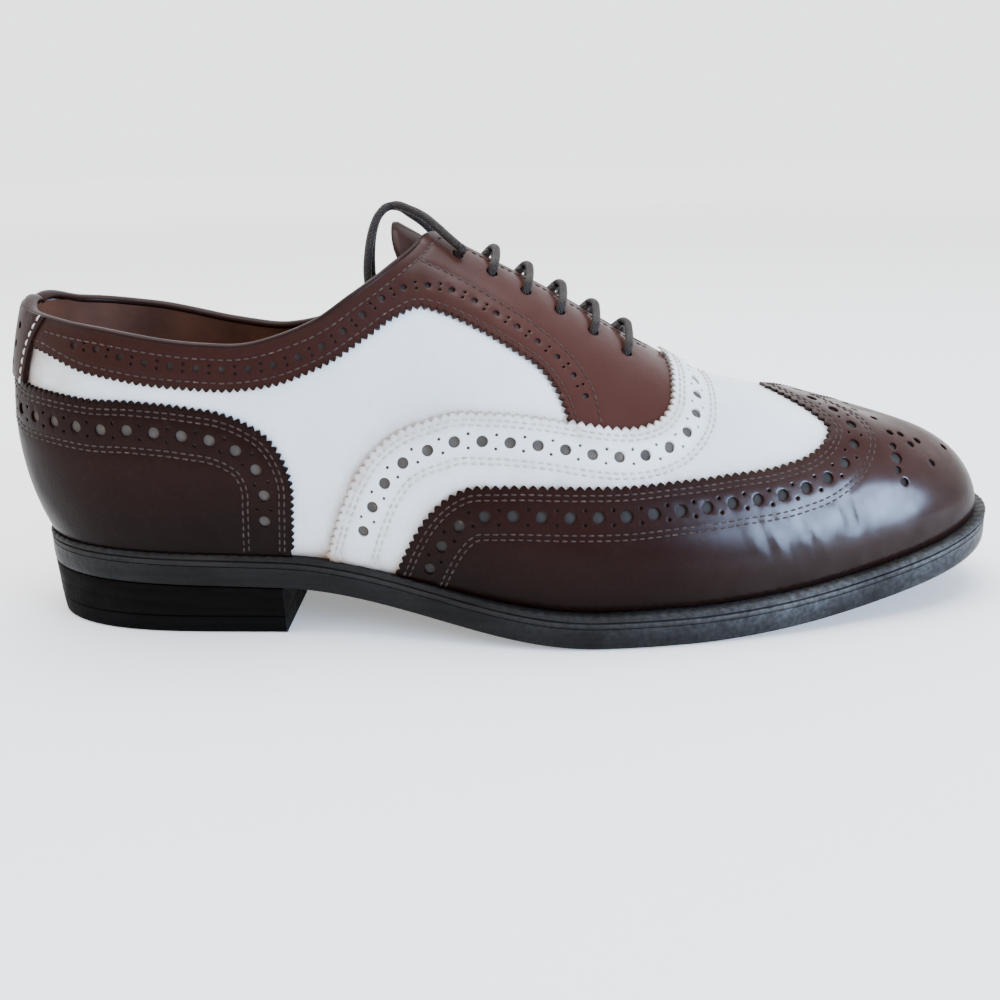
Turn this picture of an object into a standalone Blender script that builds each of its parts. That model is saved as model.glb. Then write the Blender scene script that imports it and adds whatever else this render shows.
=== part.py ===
"""A right spectator shoe: white leather upper with brown wing cap, facings and counter.

Every curved piece is worked out from one last. The last is a loop of ribs round the
foot: each rib climbs from the feather line, where the upper meets the welt, to the
crest line over the instep. The toe points to +X, the outer side of the foot to -Y,
and the shoe stands on z = 0.
"""

import math

import bmesh
import bpy
import numpy as np
from mathutils import Matrix, Vector
from mathutils.kdtree import KDTree

# Driving sizes, metres
SOLE_LENGTH = 0.305
BALL_WIDTH = 0.097
INSTEP_HEIGHT = 0.112
HEEL_HEIGHT = 0.017
BREAST_HEIGHT = 0.0145
TOE_SPRING = 0.0165
HEEL_LENGTH = 0.082

# Thicknesses, metres
OUTSOLE = 0.0065
WELT = 0.0040
TOP_LIFT = 0.0055
INSOLE = 0.0025
UPPER_WALL = 0.0020
TONGUE_WALL = 0.0022
OVERLAY_WALL = 0.0012
WING_WALL = 0.0017
CLEARANCE = 0.0003
OVERLAY_GAP = 0.0006
WING_GAP = 0.0008
TONGUE_GAP = 0.0006

# How far the sole stands out past the feather line, at the heel and the forepart
EDGE_HEEL = 0.0022
EDGE_FOREPART = 0.0058
WELT_INSIDE = 0.0080
HEEL_TAPER = 0.0010

# Flat tread under the ball, as shares of the sole's length
TREAD_START = 0.575
TREAD_END = 0.660

# Lacing, in metres, with the places along the crest as shares of the sole's length
SLIT_HALF = 0.0030
SLIT_END = 0.636
EYELET_RADIUS = 0.0022
EYELET_INSET = (0.0165, 0.0115)
EYELET_SPACING = 0.0100
FIRST_EYELET = 0.607
EYELET_PAIRS = 6
LACE_RADIUS = 0.0013
LACE_LIFT = 0.0037
TONGUE_HALF = 0.0240
TONGUE_BACK = 0.385
TONGUE_FRONT = 0.650

# Rows from the heel's back to the toe's tip, as shares of the named sizes
# foot_x crest_x: sole length. outer inner shift bulge: ball width. crest_z: instep height.
# rise and round: exponents of the rib's height and width.
#  foot_x outer  inner crest_x crest_z bulge rise  round
SECTIONS = np.array([
    (0.014, 0.000, 0.000, 0.175, 1.420, 0.083, 2.00, 2.00),
    (0.024, 0.140, 0.135, 0.176, 1.420, 0.080, 2.00, 2.00),
    (0.062, 0.265, 0.258, 0.180, 1.410, 0.060, 2.10, 2.00),
    (0.120, 0.335, 0.315, 0.195, 1.380, 0.045, 2.20, 2.00),
    (0.210, 0.365, 0.300, 0.235, 1.300, 0.035, 2.10, 2.00),
    (0.310, 0.385, 0.255, 0.310, 1.195, 0.035, 1.75, 2.00),
    (0.410, 0.430, 0.240, 0.410, 1.030, 0.040, 1.55, 2.00),
    (0.510, 0.485, 0.315, 0.510, 0.882, 0.040, 1.50, 2.00),
    (0.600, 0.490, 0.430, 0.600, 0.735, 0.030, 1.55, 2.00),
    (0.690, 0.447, 0.500, 0.682, 0.610, 0.020, 1.70, 2.05),
    (0.775, 0.380, 0.500, 0.745, 0.560, 0.012, 1.85, 2.10),
    (0.850, 0.300, 0.445, 0.795, 0.525, 0.008, 2.00, 2.10),
    (0.915, 0.212, 0.350, 0.828, 0.495, 0.006, 2.00, 2.10),
    (0.956, 0.105, 0.242, 0.842, 0.482, 0.004, 1.85, 2.00),
    (0.974, 0.062, 0.062, 0.845, 0.478, 0.004, 1.85, 2.00),
])
CREST_SHIFT = 0.062

# Edges of the pieces. along: 0 at the heel's back to 1 at the toe's tip.
# up: share of the girth from the feather line (0) to the crest (1).
#  along   up
TOPLINE = np.array([
    (0.000, 0.462),
    (0.064, 0.453),
    (0.111, 0.450),
    (0.153, 0.450),
    (0.192, 0.450),
    (0.230, 0.456),
    (0.269, 0.471),
    (0.297, 0.502),
    (0.326, 0.552),
    (0.358, 0.644),
    (0.389, 0.756),
    (0.412, 0.870),
])
FACING_EDGE = np.array([
    (0.045, 0.376),
    (0.135, 0.367),
    (0.174, 0.362),
    (0.222, 0.366),
    (0.257, 0.374),
    (0.297, 0.403),
    (0.336, 0.468),
    (0.371, 0.563),
    (0.397, 0.646),
    (0.417, 0.693),
    (0.434, 0.700),
    (0.466, 0.692),
    (0.496, 0.670),
    (0.523, 0.639),
    (0.535, 0.598),
    (0.543, 0.545),
    (0.547, 0.509),
])
VAMP_EDGE = np.array([
    (0.328, 0.000),
    (0.344, 0.132),
    (0.360, 0.230),
    (0.377, 0.303),
    (0.401, 0.369),
    (0.423, 0.411),
    (0.444, 0.446),
    (0.478, 0.474),
    (0.509, 0.493),
    (0.541, 0.507),
    (0.566, 0.513),
    (0.590, 0.524),
    (0.612, 0.550),
    (0.628, 0.590),
    (0.641, 0.667),
    (0.646, 0.764),
    (0.648, 0.876),
    (0.645, 1.000),
])
WING_EDGE = np.array([
    (0.391, 0.000),
    (0.405, 0.092),
    (0.419, 0.165),
    (0.436, 0.226),
    (0.456, 0.270),
    (0.484, 0.294),
    (0.532, 0.323),
    (0.588, 0.351),
    (0.641, 0.393),
    (0.690, 0.435),
    (0.742, 0.470),
    (0.778, 0.519),
    (0.800, 0.587),
    (0.812, 0.664),
    (0.806, 0.748),
    (0.788, 0.869),
    (0.768, 1.000),
])
COUNTER_EDGE = np.array([
    (0.000, 0.318),
    (0.076, 0.314),
    (0.135, 0.312),
    (0.174, 0.321),
    (0.220, 0.323),
    (0.247, 0.318),
    (0.267, 0.301),
    (0.285, 0.271),
    (0.295, 0.231),
    (0.301, 0.178),
    (0.300, 0.109),
    (0.296, 0.000),
])

# More places along the sides
CORNER_LENGTH = 0.020
STRIP_FOOT = 0.070
STRIP_TOP = 0.088
SEAM_GAP = 0.003
FOOT_LIFT = 0.012
SEAM_POINTS = 21

# Colours, sRGB hex, with roughness
WHITE_LEATHER = ("white_leather", "D6DCDF", 0.45)
BROWN_LEATHER = ("brown_leather", "43261F", 0.35)
LINING_LEATHER = ("lining_leather", "6B4A38", 0.60)
SOLE_LEATHER = ("sole_leather", "1E1815", 0.45)
WELT_LEATHER = ("welt_leather", "3A322D", 0.60)
HEEL_RUBBER = ("heel_rubber", "151312", 0.65)
LACE_COTTON = ("lace_cotton", "2A1F1B", 0.80)


def smooth(t):
    """0 below 0, 1 above 1, and an even ease between."""
    t = np.clip(t, 0, 1)
    return t * t * (3 - 2 * t)


def sole_underside(x):
    """Height of the outsole's underside: heel seat, waist, flat tread, toe spring."""
    x = np.asarray(x, float)
    tread_start = TREAD_START * SOLE_LENGTH
    tread_end = TREAD_END * SOLE_LENGTH
    fall = (BREAST_HEIGHT - HEEL_HEIGHT) / HEEL_LENGTH
    seat = HEEL_HEIGHT + fall * x
    waist_length = tread_start - HEEL_LENGTH
    t = np.clip((x - HEEL_LENGTH) / waist_length, 0, 1)
    waist = (2 * t**3 - 3 * t**2 + 1) * BREAST_HEIGHT
    waist = waist + (t**3 - 2 * t**2 + t) * fall * waist_length
    toe = TOE_SPRING * (np.clip(x - tread_end, 0, None) / (SOLE_LENGTH - tread_end)) ** 1.8
    return np.where(x < HEEL_LENGTH, seat, np.where(x < tread_start, waist, toe))


def loop_spline(knots, rows, at):
    """Smooth closed curve through rows, one at each knot, read at the given places."""
    count = len(knots) - 1
    step = np.diff(knots)
    pull = np.diff(rows, axis=0) / step[:, None]
    matrix = np.zeros((count, count))
    for i in range(count):
        matrix[i, i - 1] += step[i - 1]
        matrix[i, i] += 2 * (step[i - 1] + step[i])
        matrix[i, (i + 1) % count] += step[i]
    bend = np.linalg.solve(matrix, 6 * (pull - np.roll(pull, 1, axis=0)))
    bend = np.vstack([bend, bend[:1]])
    at = np.mod(at, knots[-1])
    i = np.clip(np.searchsorted(knots, at, side="right") - 1, 0, count - 1)
    back = (at - knots[i])[:, None]
    h = step[i][:, None]
    ahead = h - back
    curve = (bend[i] * ahead**3 + bend[i + 1] * back**3) / (6 * h)
    curve = curve + (rows[i] / h - bend[i] * h / 6) * ahead
    return curve + (rows[i + 1] / h - bend[i + 1] * h / 6) * back


def section_loop():
    """Knots and rows round the shoe: heel, outer side, toe, inner side, heel."""
    foot_x, outer, inner, crest_x, crest_z, bulge, rise, rounding = SECTIONS.T
    shared = [
        crest_x * SOLE_LENGTH,
        crest_z * INSTEP_HEIGHT,
        bulge * BALL_WIDTH,
        rise,
        rounding,
    ]
    outer_y = -outer * BALL_WIDTH
    outer_y[-1] = CREST_SHIFT * BALL_WIDTH
    outer_rows = np.column_stack([foot_x * SOLE_LENGTH, outer_y] + shared)
    inner_rows = np.column_stack([foot_x * SOLE_LENGTH, inner * BALL_WIDTH] + shared)
    rows = np.vstack([outer_rows, inner_rows[-2:0:-1], outer_rows[:1]])
    outer_step = np.hypot(*np.diff(outer_rows[:, :2], axis=0).T)
    inner_step = np.hypot(*np.diff(inner_rows[:, :2], axis=0).T)
    step = (outer_step + inner_step) / 2
    knots = np.concatenate([[0], np.cumsum(np.concatenate([step, step[::-1]]))])
    return knots, rows


KNOTS, LOOP_ROWS = section_loop()
TOE_KNOT = KNOTS[len(SECTIONS) - 1]
OUTER, INNER = 1, -1


def crest_shift(x):
    """The crest line leans to the inner side over the forefoot."""
    return CREST_SHIFT * BALL_WIDTH * smooth((x / SOLE_LENGTH - 0.15) / 0.35)


def crest_slope(x):
    """Fall of the crest line for each metre forward, from the section table."""
    run = SECTIONS[:, 3] * SOLE_LENGTH
    height = SECTIONS[:, 4] * INSTEP_HEIGHT
    middle = (run[1:] + run[:-1]) / 2
    return np.interp(x, middle, np.diff(height) / np.diff(run))


def rib_points(along, tau):
    """Points of the last. along: -1 to 1, inner side negative. tau: 0 foot to 1 crest.

    A rib is a quarter of a superellipse between the feather line and the crest, with a
    bulge low on its side. Over the toe it leaves the crest at the crest line's slope.
    """
    row = loop_spline(KNOTS, LOOP_ROWS, along.ravel() * TOE_KNOT)
    foot_x, foot_y, crest_x, crest_z, bulge, rise, rounding = (
        row[:, k].reshape(along.shape) for k in range(7)
    )
    foot_z = sole_underside(foot_x) + OUTSOLE + WELT
    climb = np.sin(tau * np.pi / 2) ** (2 / rise)
    reach = np.clip(np.cos(tau * np.pi / 2), 0, 1) ** (2 / rounding)
    crest_y = crest_shift(crest_x)
    span = np.hypot(foot_x - crest_x, foot_y - crest_y)
    wide = reach + bulge / span * 6.75 * climb * (1 - climb) ** 2
    slope = -0.30 * smooth((crest_x / SOLE_LENGTH - 0.60) / 0.22)
    z = foot_z + (crest_z - foot_z) * climb
    z = z + slope * (foot_x - crest_x) * reach * (1 - reach) ** 2
    x = crest_x + (foot_x - crest_x) * wide
    y = crest_y + (foot_y - crest_y) * wide
    return np.stack([x, y, z], axis=-1)


def rib_normals(along, tau):
    """Outward normals: level on the feather line, and one for both sides on the crest."""
    side_step = 0.002
    up_step = 0.01
    low = np.clip(tau - up_step, 0, 0.975)
    high = np.clip(tau + up_step, 0.02, 0.995)
    middle = np.clip(tau, 0.005, 0.985)
    forward = rib_points(along + side_step, middle) - rib_points(along - side_step, middle)
    upward = rib_points(along, high) - rib_points(along, low)
    normal = np.cross(forward, upward)
    crest = rib_points(along, np.ones_like(tau))[..., 0]
    flat = np.stack([-crest_slope(crest), np.zeros_like(crest), np.ones_like(crest)], -1)
    normal = np.where((tau > 0.9999)[..., None], flat, normal)
    level = normal * (1, 1, 0)
    normal = np.where((tau < 0.0001)[..., None], level, normal)
    return normal / np.linalg.norm(normal, axis=-1, keepdims=True)


def skin(along, tau, height):
    """Points at a height above the last, counted along its normal."""
    return rib_points(along, tau) + rib_normals(along, tau) * height


def tau_at(along, up):
    """Rib parameter at a share of the rib's girth."""
    steps = np.linspace(0, 1, 121)
    ribs = rib_points(*np.meshgrid(along.ravel(), steps, indexing="ij"))
    length = np.cumsum(np.linalg.norm(np.diff(ribs, axis=1), axis=2), axis=1)
    share = np.column_stack([np.zeros(len(length)), length]) / length[:, -1:]
    tau = [np.interp(u, s, steps) for u, s in zip(up.ravel(), share)]
    return np.array(tau).reshape(along.shape)


def girth(along):
    """Length of each rib from the feather line to the crest."""
    ribs = rib_points(*np.meshgrid(along.ravel(), np.linspace(0, 1, 121), indexing="ij"))
    return np.linalg.norm(np.diff(ribs, axis=1), axis=2).sum(axis=1).reshape(along.shape)


def edge_points(table, count):
    """Evenly spaced points on a table's edge, as (along, up)."""
    run = np.hypot(np.diff(table[:, 0]) * 2.6, np.diff(table[:, 1]))
    at = np.concatenate([[0], np.cumsum(run)])
    even = np.linspace(0, at[-1], count)
    return np.column_stack([np.interp(even, at, table[:, k]) for k in (0, 1)])


def outline(along, outward):
    """Points in plan outside the feather line by a distance for each point."""
    zero = np.zeros_like(along)
    foot = rib_points(along, zero)[..., :2]
    ahead = rib_points(along + 0.004, zero)[..., :2] - rib_points(along - 0.004, zero)[..., :2]
    normal = np.stack([ahead[..., 1], -ahead[..., 0]], axis=-1)
    normal /= np.linalg.norm(normal, axis=-1, keepdims=True)
    return foot + normal * outward[..., None]


def sole_edge(along):
    """Outline of the sole: close to the upper at the heel, wider round the forepart."""
    foot_x = rib_points(along, np.zeros_like(along))[..., 0]
    ease = smooth((foot_x / SOLE_LENGTH - 0.25) / 0.3)
    return outline(along, EDGE_HEEL + (EDGE_FOREPART - EDGE_HEEL) * ease)


def plan_centre():
    """Centre in plan of the sole and of the counter, which hangs out behind it."""
    edge = sole_edge(np.linspace(-1, 1, 401))
    counter = skin(np.zeros(101), np.linspace(0, 0.5, 101), OVERLAY_GAP + OVERLAY_WALL)
    low = np.minimum(edge.min(axis=0), counter[:, :2].min(axis=0))
    return (low + edge.max(axis=0)) / 2


ORIGIN = plan_centre()


def srgb(hex_colour):
    """sRGB hex to linear colour."""
    parts = [int(hex_colour[i:i + 2], 16) / 255 for i in (0, 2, 4)]
    return [p / 12.92 if p <= 0.04045 else ((p + 0.055) / 1.055) ** 2.4 for p in parts]


def material(name, colour, roughness):
    """One Principled material for each object."""
    made = bpy.data.materials.new(name)
    made.use_nodes = True
    shader = made.node_tree.nodes["Principled BSDF"]
    shader.inputs["Base Color"].default_value = (*srgb(colour), 1)
    shader.inputs["Roughness"].default_value = roughness
    shader.inputs["Metallic"].default_value = 0
    return made


def to_frame(points):
    """From sole coordinates to the object's frame."""
    moved = np.array(points, float)
    moved[..., 0] -= ORIGIN[0]
    moved[..., 1] -= ORIGIN[1]
    return moved


def add_object(name, bm, look):
    """A mesh object from a bmesh, with its own material."""
    bmesh.ops.recalc_face_normals(bm, faces=bm.faces)
    mesh = bpy.data.meshes.new(name)
    bm.to_mesh(mesh)
    bm.free()
    made = bpy.data.objects.new(name, mesh)
    bpy.context.scene.collection.objects.link(made)
    mesh.materials.append(material(name + "_" + look[0], look[1], look[2]))
    return made


def weld(points, distance=2e-5):
    """For each point, the index of the first point that lies within the distance."""
    tree = KDTree(len(points))
    for index, point in enumerate(points):
        tree.insert(point, index)
    tree.balance()
    return [min(hit[1] for hit in tree.find_range(point, distance)) for point in points]


def grid_faces(rows, columns, first):
    """Corner indices of a grid's faces, its points counted from first."""
    faces = []
    for i in range(rows - 1):
        for j in range(columns - 1):
            corner = first + i * columns + j
            faces.append((corner, corner + 1, corner + columns + 1, corner + columns))
    return faces


def closed_sheet(name, high_points, low_points, faces, look):
    """A solid between two layers of points, with walls along the open edges."""
    twin = weld(high_points)
    bm = bmesh.new()
    used = sorted({twin[i] for face in faces for i in face})
    high = {i: bm.verts.new(high_points[i]) for i in used}
    low = {i: bm.verts.new(low_points[i]) for i in used}
    edges = {}
    for face in faces:
        ring = []
        for i in face:
            if twin[i] not in ring:
                ring.append(twin[i])
        if len(ring) < 3:
            continue
        bm.faces.new([high[i] for i in ring])
        bm.faces.new([low[i] for i in reversed(ring)])
        for a, b in zip(ring, ring[1:] + ring[:1]):
            key = (min(a, b), max(a, b))
            edges[key] = edges.get(key, 0) + 1
    for (a, b), count in edges.items():
        if count == 1:
            bm.faces.new((high[a], high[b], low[b], low[a]))
    return add_object(name, bm, look)


def shell(name, patches, low, high, look):
    """A closed sheet over patches of the last, from height low to height high.

    Each patch is a pair of grids, along and up. Patches that share an edge are joined.
    """
    tops, bottoms, faces = [], [], []
    for along, up in patches:
        tau = tau_at(along, up)
        first = sum(len(points) for points in tops)
        faces += grid_faces(*along.shape, first)
        tops.append(skin(along, tau, high).reshape(-1, 3))
        bottoms.append(skin(along, tau, low).reshape(-1, 3))
    tops = to_frame(np.concatenate(tops))
    bottoms = to_frame(np.concatenate(bottoms))
    return closed_sheet(name, tops, bottoms, faces, look)


# Where the rows of a sheet lie between its lower and its upper edge. They close up
# towards the crest, where the leather turns most.
UPPER_ROWS = (0, 0.10, 0.22, 0.35, 0.49, 0.62, 0.74, 0.85, 0.92, 0.97, 1)
FACING_ROWS = (0, 0.28, 0.54, 0.76, 0.91, 1)
CAP_ROWS = (0, 0.12, 0.26, 0.42, 0.59, 0.79, 1)
VAMP_ROWS = (0, 0.25, 0.5, 0.75, 1)
EVEN_ROWS = (0, 0.25, 0.5, 0.75, 1)


def ruled(start, end, rows):
    """Grid of (along, up) between two edges with the same number of points."""
    share = np.array(rows, float)[None, :, None]
    grid = start[:, None] * (1 - share) + end[:, None] * share
    return grid[..., 0], grid[..., 1]


def both_sides(patch):
    """The outer patch and its match on the inner side."""
    along, up = patch
    return [(along, up), (-along, up)]


def along_where(x, tau=0.0):
    """Place along the outer side whose rib passes a given x, forward of the heel."""
    along = np.linspace(0.05, 1, 800)
    return float(np.interp(x, rib_points(along, np.full(800, tau))[:, 0], along))


def opening_up(along, least=0.0):
    """Upper limit of the leather: topline, facing corner, slit, then the crest."""
    corner = TOPLINE[-1, 0]
    slit_start = corner + CORNER_LENGTH
    slit_end = along_where(SLIT_END * SOLE_LENGTH, 1.0)
    collar = np.interp(along, TOPLINE[:, 0], TOPLINE[:, 1])
    closing = np.sqrt(np.clip((slit_end - along) / 0.012, 0, 1))
    slit = 1 - np.maximum(SLIT_HALF * closing, least) / girth(along)
    turn = np.clip((along - corner) / (slit_start - corner), 0, 1)
    blend = np.sin(turn * math.pi / 2)
    return np.where(along <= corner, collar, collar + (slit - collar) * blend)


def leather_stations():
    """Places of the upper's ribs on one side, closer at the heel, corner and toe."""
    corner = TOPLINE[-1, 0]
    slit_end = along_where(SLIT_END * SOLE_LENGTH, 1.0)
    return np.concatenate([
        np.linspace(0, 0.10, 6),
        np.linspace(0.10, 0.28, 5)[1:],
        np.linspace(0.28, corner, 6)[1:],
        corner + CORNER_LENGTH * np.array([0.35, 0.7, 1.0]),
        np.linspace(corner + CORNER_LENGTH, slit_end, 7)[1:],
        np.linspace(slit_end, 0.84, 6)[1:],
        np.linspace(0.84, 1, 9)[1:],
    ])


def make_upper():
    """One hollow shell of leather, open at the collar, the slit and underneath."""
    along = leather_stations()
    feather = np.column_stack([along, np.zeros_like(along)])
    opening = np.column_stack([along, opening_up(along)])
    patch = ruled(feather, opening, UPPER_ROWS)
    return shell("upper", both_sides(patch), -UPPER_WALL, 0, WHITE_LEATHER)


def make_counter():
    """Brown leather round the heel, under its gimped edge."""
    edge = edge_points(COUNTER_EDGE, 17)
    edge[:, 1] = np.maximum(edge[:, 1], FOOT_LIFT)
    foot = np.column_stack([np.linspace(0, COUNTER_EDGE[-1, 0], 17), np.full(17, FOOT_LIFT)])
    patch = ruled(foot, edge, EVEN_ROWS)
    high = OVERLAY_GAP + OVERLAY_WALL
    return shell("counter", both_sides(patch), OVERLAY_GAP, high, BROWN_LEATHER)


def make_back_strip():
    """The strip up the heel's back, from the counter to the topline."""
    share = np.linspace(-1, 1, 9)
    foot_along = share * STRIP_FOOT
    top_along = share * STRIP_TOP
    foot_up = np.interp(np.abs(foot_along), COUNTER_EDGE[:9, 0], COUNTER_EDGE[:9, 1])
    foot = np.column_stack([foot_along, foot_up + 2 * SEAM_GAP])
    top = np.column_stack([top_along, opening_up(np.abs(top_along))])
    high = OVERLAY_GAP + OVERLAY_WALL
    patches = [ruled(foot, top, EVEN_ROWS)]
    return shell("back_strip", patches, OVERLAY_GAP, high, BROWN_LEATHER)


def make_facing(side, name):
    """Brown collar and lace facing of one side, from the back strip to the throat."""
    nose = VAMP_EDGE[VAMP_EDGE[:, 0] > FACING_EDGE[-1, 0]][:-2]
    nose = nose + (-0.004, 0.006)
    low_edge = np.vstack([FACING_EDGE[1:], nose])
    low_start = FACING_EDGE[0, 1]
    strip_share = (low_start - COUNTER_EDGE[0, 1]) / (TOPLINE[0, 1] - COUNTER_EDGE[0, 1])
    start = STRIP_FOOT + (STRIP_TOP - STRIP_FOOT) * strip_share + SEAM_GAP
    low_along = np.concatenate([
        np.linspace(start, 0.28, 7),
        np.linspace(0.28, 0.44, 10)[1:],
        np.linspace(0.44, FACING_EDGE[-1, 0], 5)[1:],
        np.linspace(FACING_EDGE[-1, 0], nose[-1, 0], 7)[1:],
    ])
    low_up = np.interp(low_along, low_edge[:, 0], low_edge[:, 1])
    slant = (STRIP_TOP + SEAM_GAP - start) * (1 - smooth((low_along - start) / 0.10))
    high_along = low_along + slant
    low = np.column_stack([low_along * side, low_up])
    top = np.column_stack([high_along * side, opening_up(high_along, 0.0004)])
    high = OVERLAY_GAP + OVERLAY_WALL
    patches = [ruled(low, top, FACING_ROWS)]
    return shell(name, patches, OVERLAY_GAP, high, BROWN_LEATHER)


def make_vamp():
    """White leather over the forefoot, from its gimped edge to under the wing cap."""
    back = edge_points(VAMP_EDGE, SEAM_POINTS)
    front = edge_points(WING_EDGE, SEAM_POINTS) - (1.5 * SEAM_GAP, 0)
    front[:, 1] += 2.5 * SEAM_GAP * (1 - smooth((front[:, 1] - 0.45) / 0.15))
    back[:, 1] = np.clip(back[:, 1], FOOT_LIFT, 1)
    front[:, 1] = np.clip(front[:, 1], FOOT_LIFT, 1)
    patch = ruled(back, front, VAMP_ROWS)
    high = OVERLAY_GAP + OVERLAY_WALL
    return shell("vamp", both_sides(patch), OVERLAY_GAP, high, WHITE_LEATHER)


def make_wing_cap():
    """Brown cap over the toe, with a wing down each side and a point on the crest."""
    edge = edge_points(WING_EDGE, SEAM_POINTS)
    ridge = np.column_stack([np.linspace(WING_EDGE[-1, 0], 1, 5)[1:], np.ones(4)])
    share = np.linspace(0, 1, SEAM_POINTS)
    spread = WING_EDGE[0, 0] + (0.965 - WING_EDGE[0, 0]) * share * (5 - share) / 4
    foot_along = np.concatenate([spread, np.linspace(0.965, 1, 5)[1:]])
    foot = np.column_stack([foot_along, np.full_like(foot_along, FOOT_LIFT)])
    edge[:, 1] = np.maximum(edge[:, 1], FOOT_LIFT)
    patch = ruled(foot, np.vstack([edge, ridge]), CAP_ROWS)
    high = WING_GAP + WING_WALL
    return shell("wing_cap", both_sides(patch), WING_GAP, high, BROWN_LEATHER)


def make_tongue():
    """A leather sheet under the facings, standing a little above them."""
    back = along_where(TONGUE_BACK * SOLE_LENGTH, 1.0)
    front = along_where(TONGUE_FRONT * SOLE_LENGTH, 1.0)
    along = np.linspace(back, front, 10)
    side = np.column_stack([along, 1 - TONGUE_HALF / girth(along)])
    crest = np.column_stack([along, np.ones_like(along)])
    high = -UPPER_WALL - TONGUE_GAP
    patches = both_sides(ruled(side, crest, EVEN_ROWS))
    return shell("tongue", patches, high - TONGUE_WALL, high, BROWN_LEATHER)


def slab(name, outer, inner, low_z, high_z, look, taper=0.0):
    """A plate between an outer and an inner outline, with its heights by x."""
    faces = grid_faces(len(outer), 2, 0)
    plan = np.stack([outer, inner], axis=1)
    centre = plan.mean(axis=(0, 1))
    small = centre + (plan - centre) * (1 - taper)
    high = np.concatenate([plan, high_z(plan[..., 0])[..., None]], axis=-1)
    low = np.concatenate([small, low_z(small[..., 0])[..., None]], axis=-1)
    return closed_sheet(
        name, to_frame(high).reshape(-1, 3), to_frame(low).reshape(-1, 3), faces, look
    )


def sole_stations():
    """Places of the sole's outline points on one side."""
    return np.concatenate([
        np.linspace(0, 0.12, 8),
        np.linspace(0.12, 0.80, 16)[1:],
        np.linspace(0.80, 1, 11)[1:],
    ])


def make_sole():
    """Outsole, welt and insole, one on the other."""
    along = sole_stations()
    slab(
        "outsole",
        sole_edge(along),
        sole_edge(-along),
        sole_underside,
        lambda x: sole_underside(x) + OUTSOLE,
        SOLE_LEATHER,
    )
    make_insole(along)
    make_welt(along)


def make_insole(along):
    """The inner sole: a sheet over the welt, with a rib that fills the welt's ring."""
    even = np.ones_like(along)
    insets = (UPPER_WALL + 2 * CLEARANCE, WELT_INSIDE + CLEARANCE, WELT_INSIDE + 3 * CLEARANCE)
    ring = np.stack([outline(along, -inset * even) for inset in insets], axis=1)
    far = np.stack([outline(-along, -inset * even) for inset in insets[::-1]], axis=1)
    plan = np.concatenate([ring, far], axis=1)
    ground = sole_underside(plan[..., 0]) + OUTSOLE
    low_z = ground + np.array([WELT, WELT, CLEARANCE, CLEARANCE, WELT, WELT])
    high = np.concatenate([plan, (ground + WELT + INSOLE)[..., None]], axis=-1)
    low = np.concatenate([plan, low_z[..., None]], axis=-1)
    faces = grid_faces(len(along), 6, 0)
    return closed_sheet(
        "insole", to_frame(high).reshape(-1, 3), to_frame(low).reshape(-1, 3), faces,
        LINING_LEATHER,
    )


def make_welt(along):
    """The strip of leather between the upper and the outsole, all round the shoe."""
    ring = np.concatenate([along, -along[-2::-1]])
    outer = sole_edge(ring)
    inner = outline(ring, -WELT_INSIDE * np.ones_like(ring))
    plan = np.stack([outer, inner], axis=1)
    ground = sole_underside(plan[..., 0])[..., None]
    high = np.concatenate([plan, ground + OUTSOLE + WELT - CLEARANCE], axis=-1)
    low = np.concatenate([plan, ground + OUTSOLE + CLEARANCE], axis=-1)
    faces = grid_faces(len(ring), 2, 0)
    return closed_sheet(
        "welt", to_frame(high).reshape(-1, 3), to_frame(low).reshape(-1, 3), faces, WELT_LEATHER
    )


def make_heel():
    """Leather stack under the outsole, and the top lift that meets the floor."""
    breast = along_where(HEEL_LENGTH)
    along = np.concatenate([np.linspace(0, 0.12, 9), np.linspace(0.12, breast, 7)[1:]])
    outer = sole_edge(along)
    inner = sole_edge(-along)
    slab(
        "heel_stack",
        outer,
        inner,
        lambda x: TOP_LIFT + CLEARANCE + 0 * x,
        lambda x: sole_underside(x) - CLEARANCE,
        SOLE_LEATHER,
        HEEL_TAPER / HEEL_LENGTH,
    )
    slab(
        "top_lift",
        outer,
        inner,
        lambda x: 0 * x,
        lambda x: TOP_LIFT + 0 * x,
        HEEL_RUBBER,
        HEEL_TAPER / HEEL_LENGTH,
    )


def at_crest_distance(x, across, height):
    """A point over the instep: x of the rib's crest, girth from the crest, height."""
    along = np.array([along_where(x, 1.0)]) * (1 if across >= 0 else -1)
    tau = tau_at(along, 1 - abs(across) / girth(along))
    return skin(along, tau, height)[0], rib_normals(along, tau)[0]


def eyelet_place(number):
    """x and distance from the crest of an eyelet, counted from the throat."""
    share = number / (EYELET_PAIRS - 1)
    across = EYELET_INSET[0] + (EYELET_INSET[1] - EYELET_INSET[0]) * share
    return FIRST_EYELET * SOLE_LENGTH - number * EYELET_SPACING, across


def make_eyelet_cutter():
    """Round pins through both facings at every eyelet."""
    bm = bmesh.new()
    for number in range(EYELET_PAIRS):
        x, across = eyelet_place(number)
        for side in (OUTER, INNER):
            point, normal = at_crest_distance(x, across * side, 0)
            turn = Vector(normal).to_track_quat("Z", "Y").to_matrix().to_4x4()
            place = Matrix.Translation(Vector(to_frame(point))) @ turn
            bmesh.ops.create_cone(
                bm,
                cap_ends=True,
                segments=6,
                radius1=EYELET_RADIUS,
                radius2=EYELET_RADIUS,
                depth=0.010,
                matrix=place,
            )
    cutter = add_object("eyelet_cutter", bm, SOLE_LEATHER)
    cutter.hide_render = True
    cutter.display_type = "WIRE"
    return cutter


def boolean(target, tool, operation):
    """An exact Boolean that stays on the object."""
    modifier = target.modifiers.new(operation.lower(), "BOOLEAN")
    modifier.operation = operation
    modifier.solver = "EXACT"
    modifier.object = tool


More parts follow.
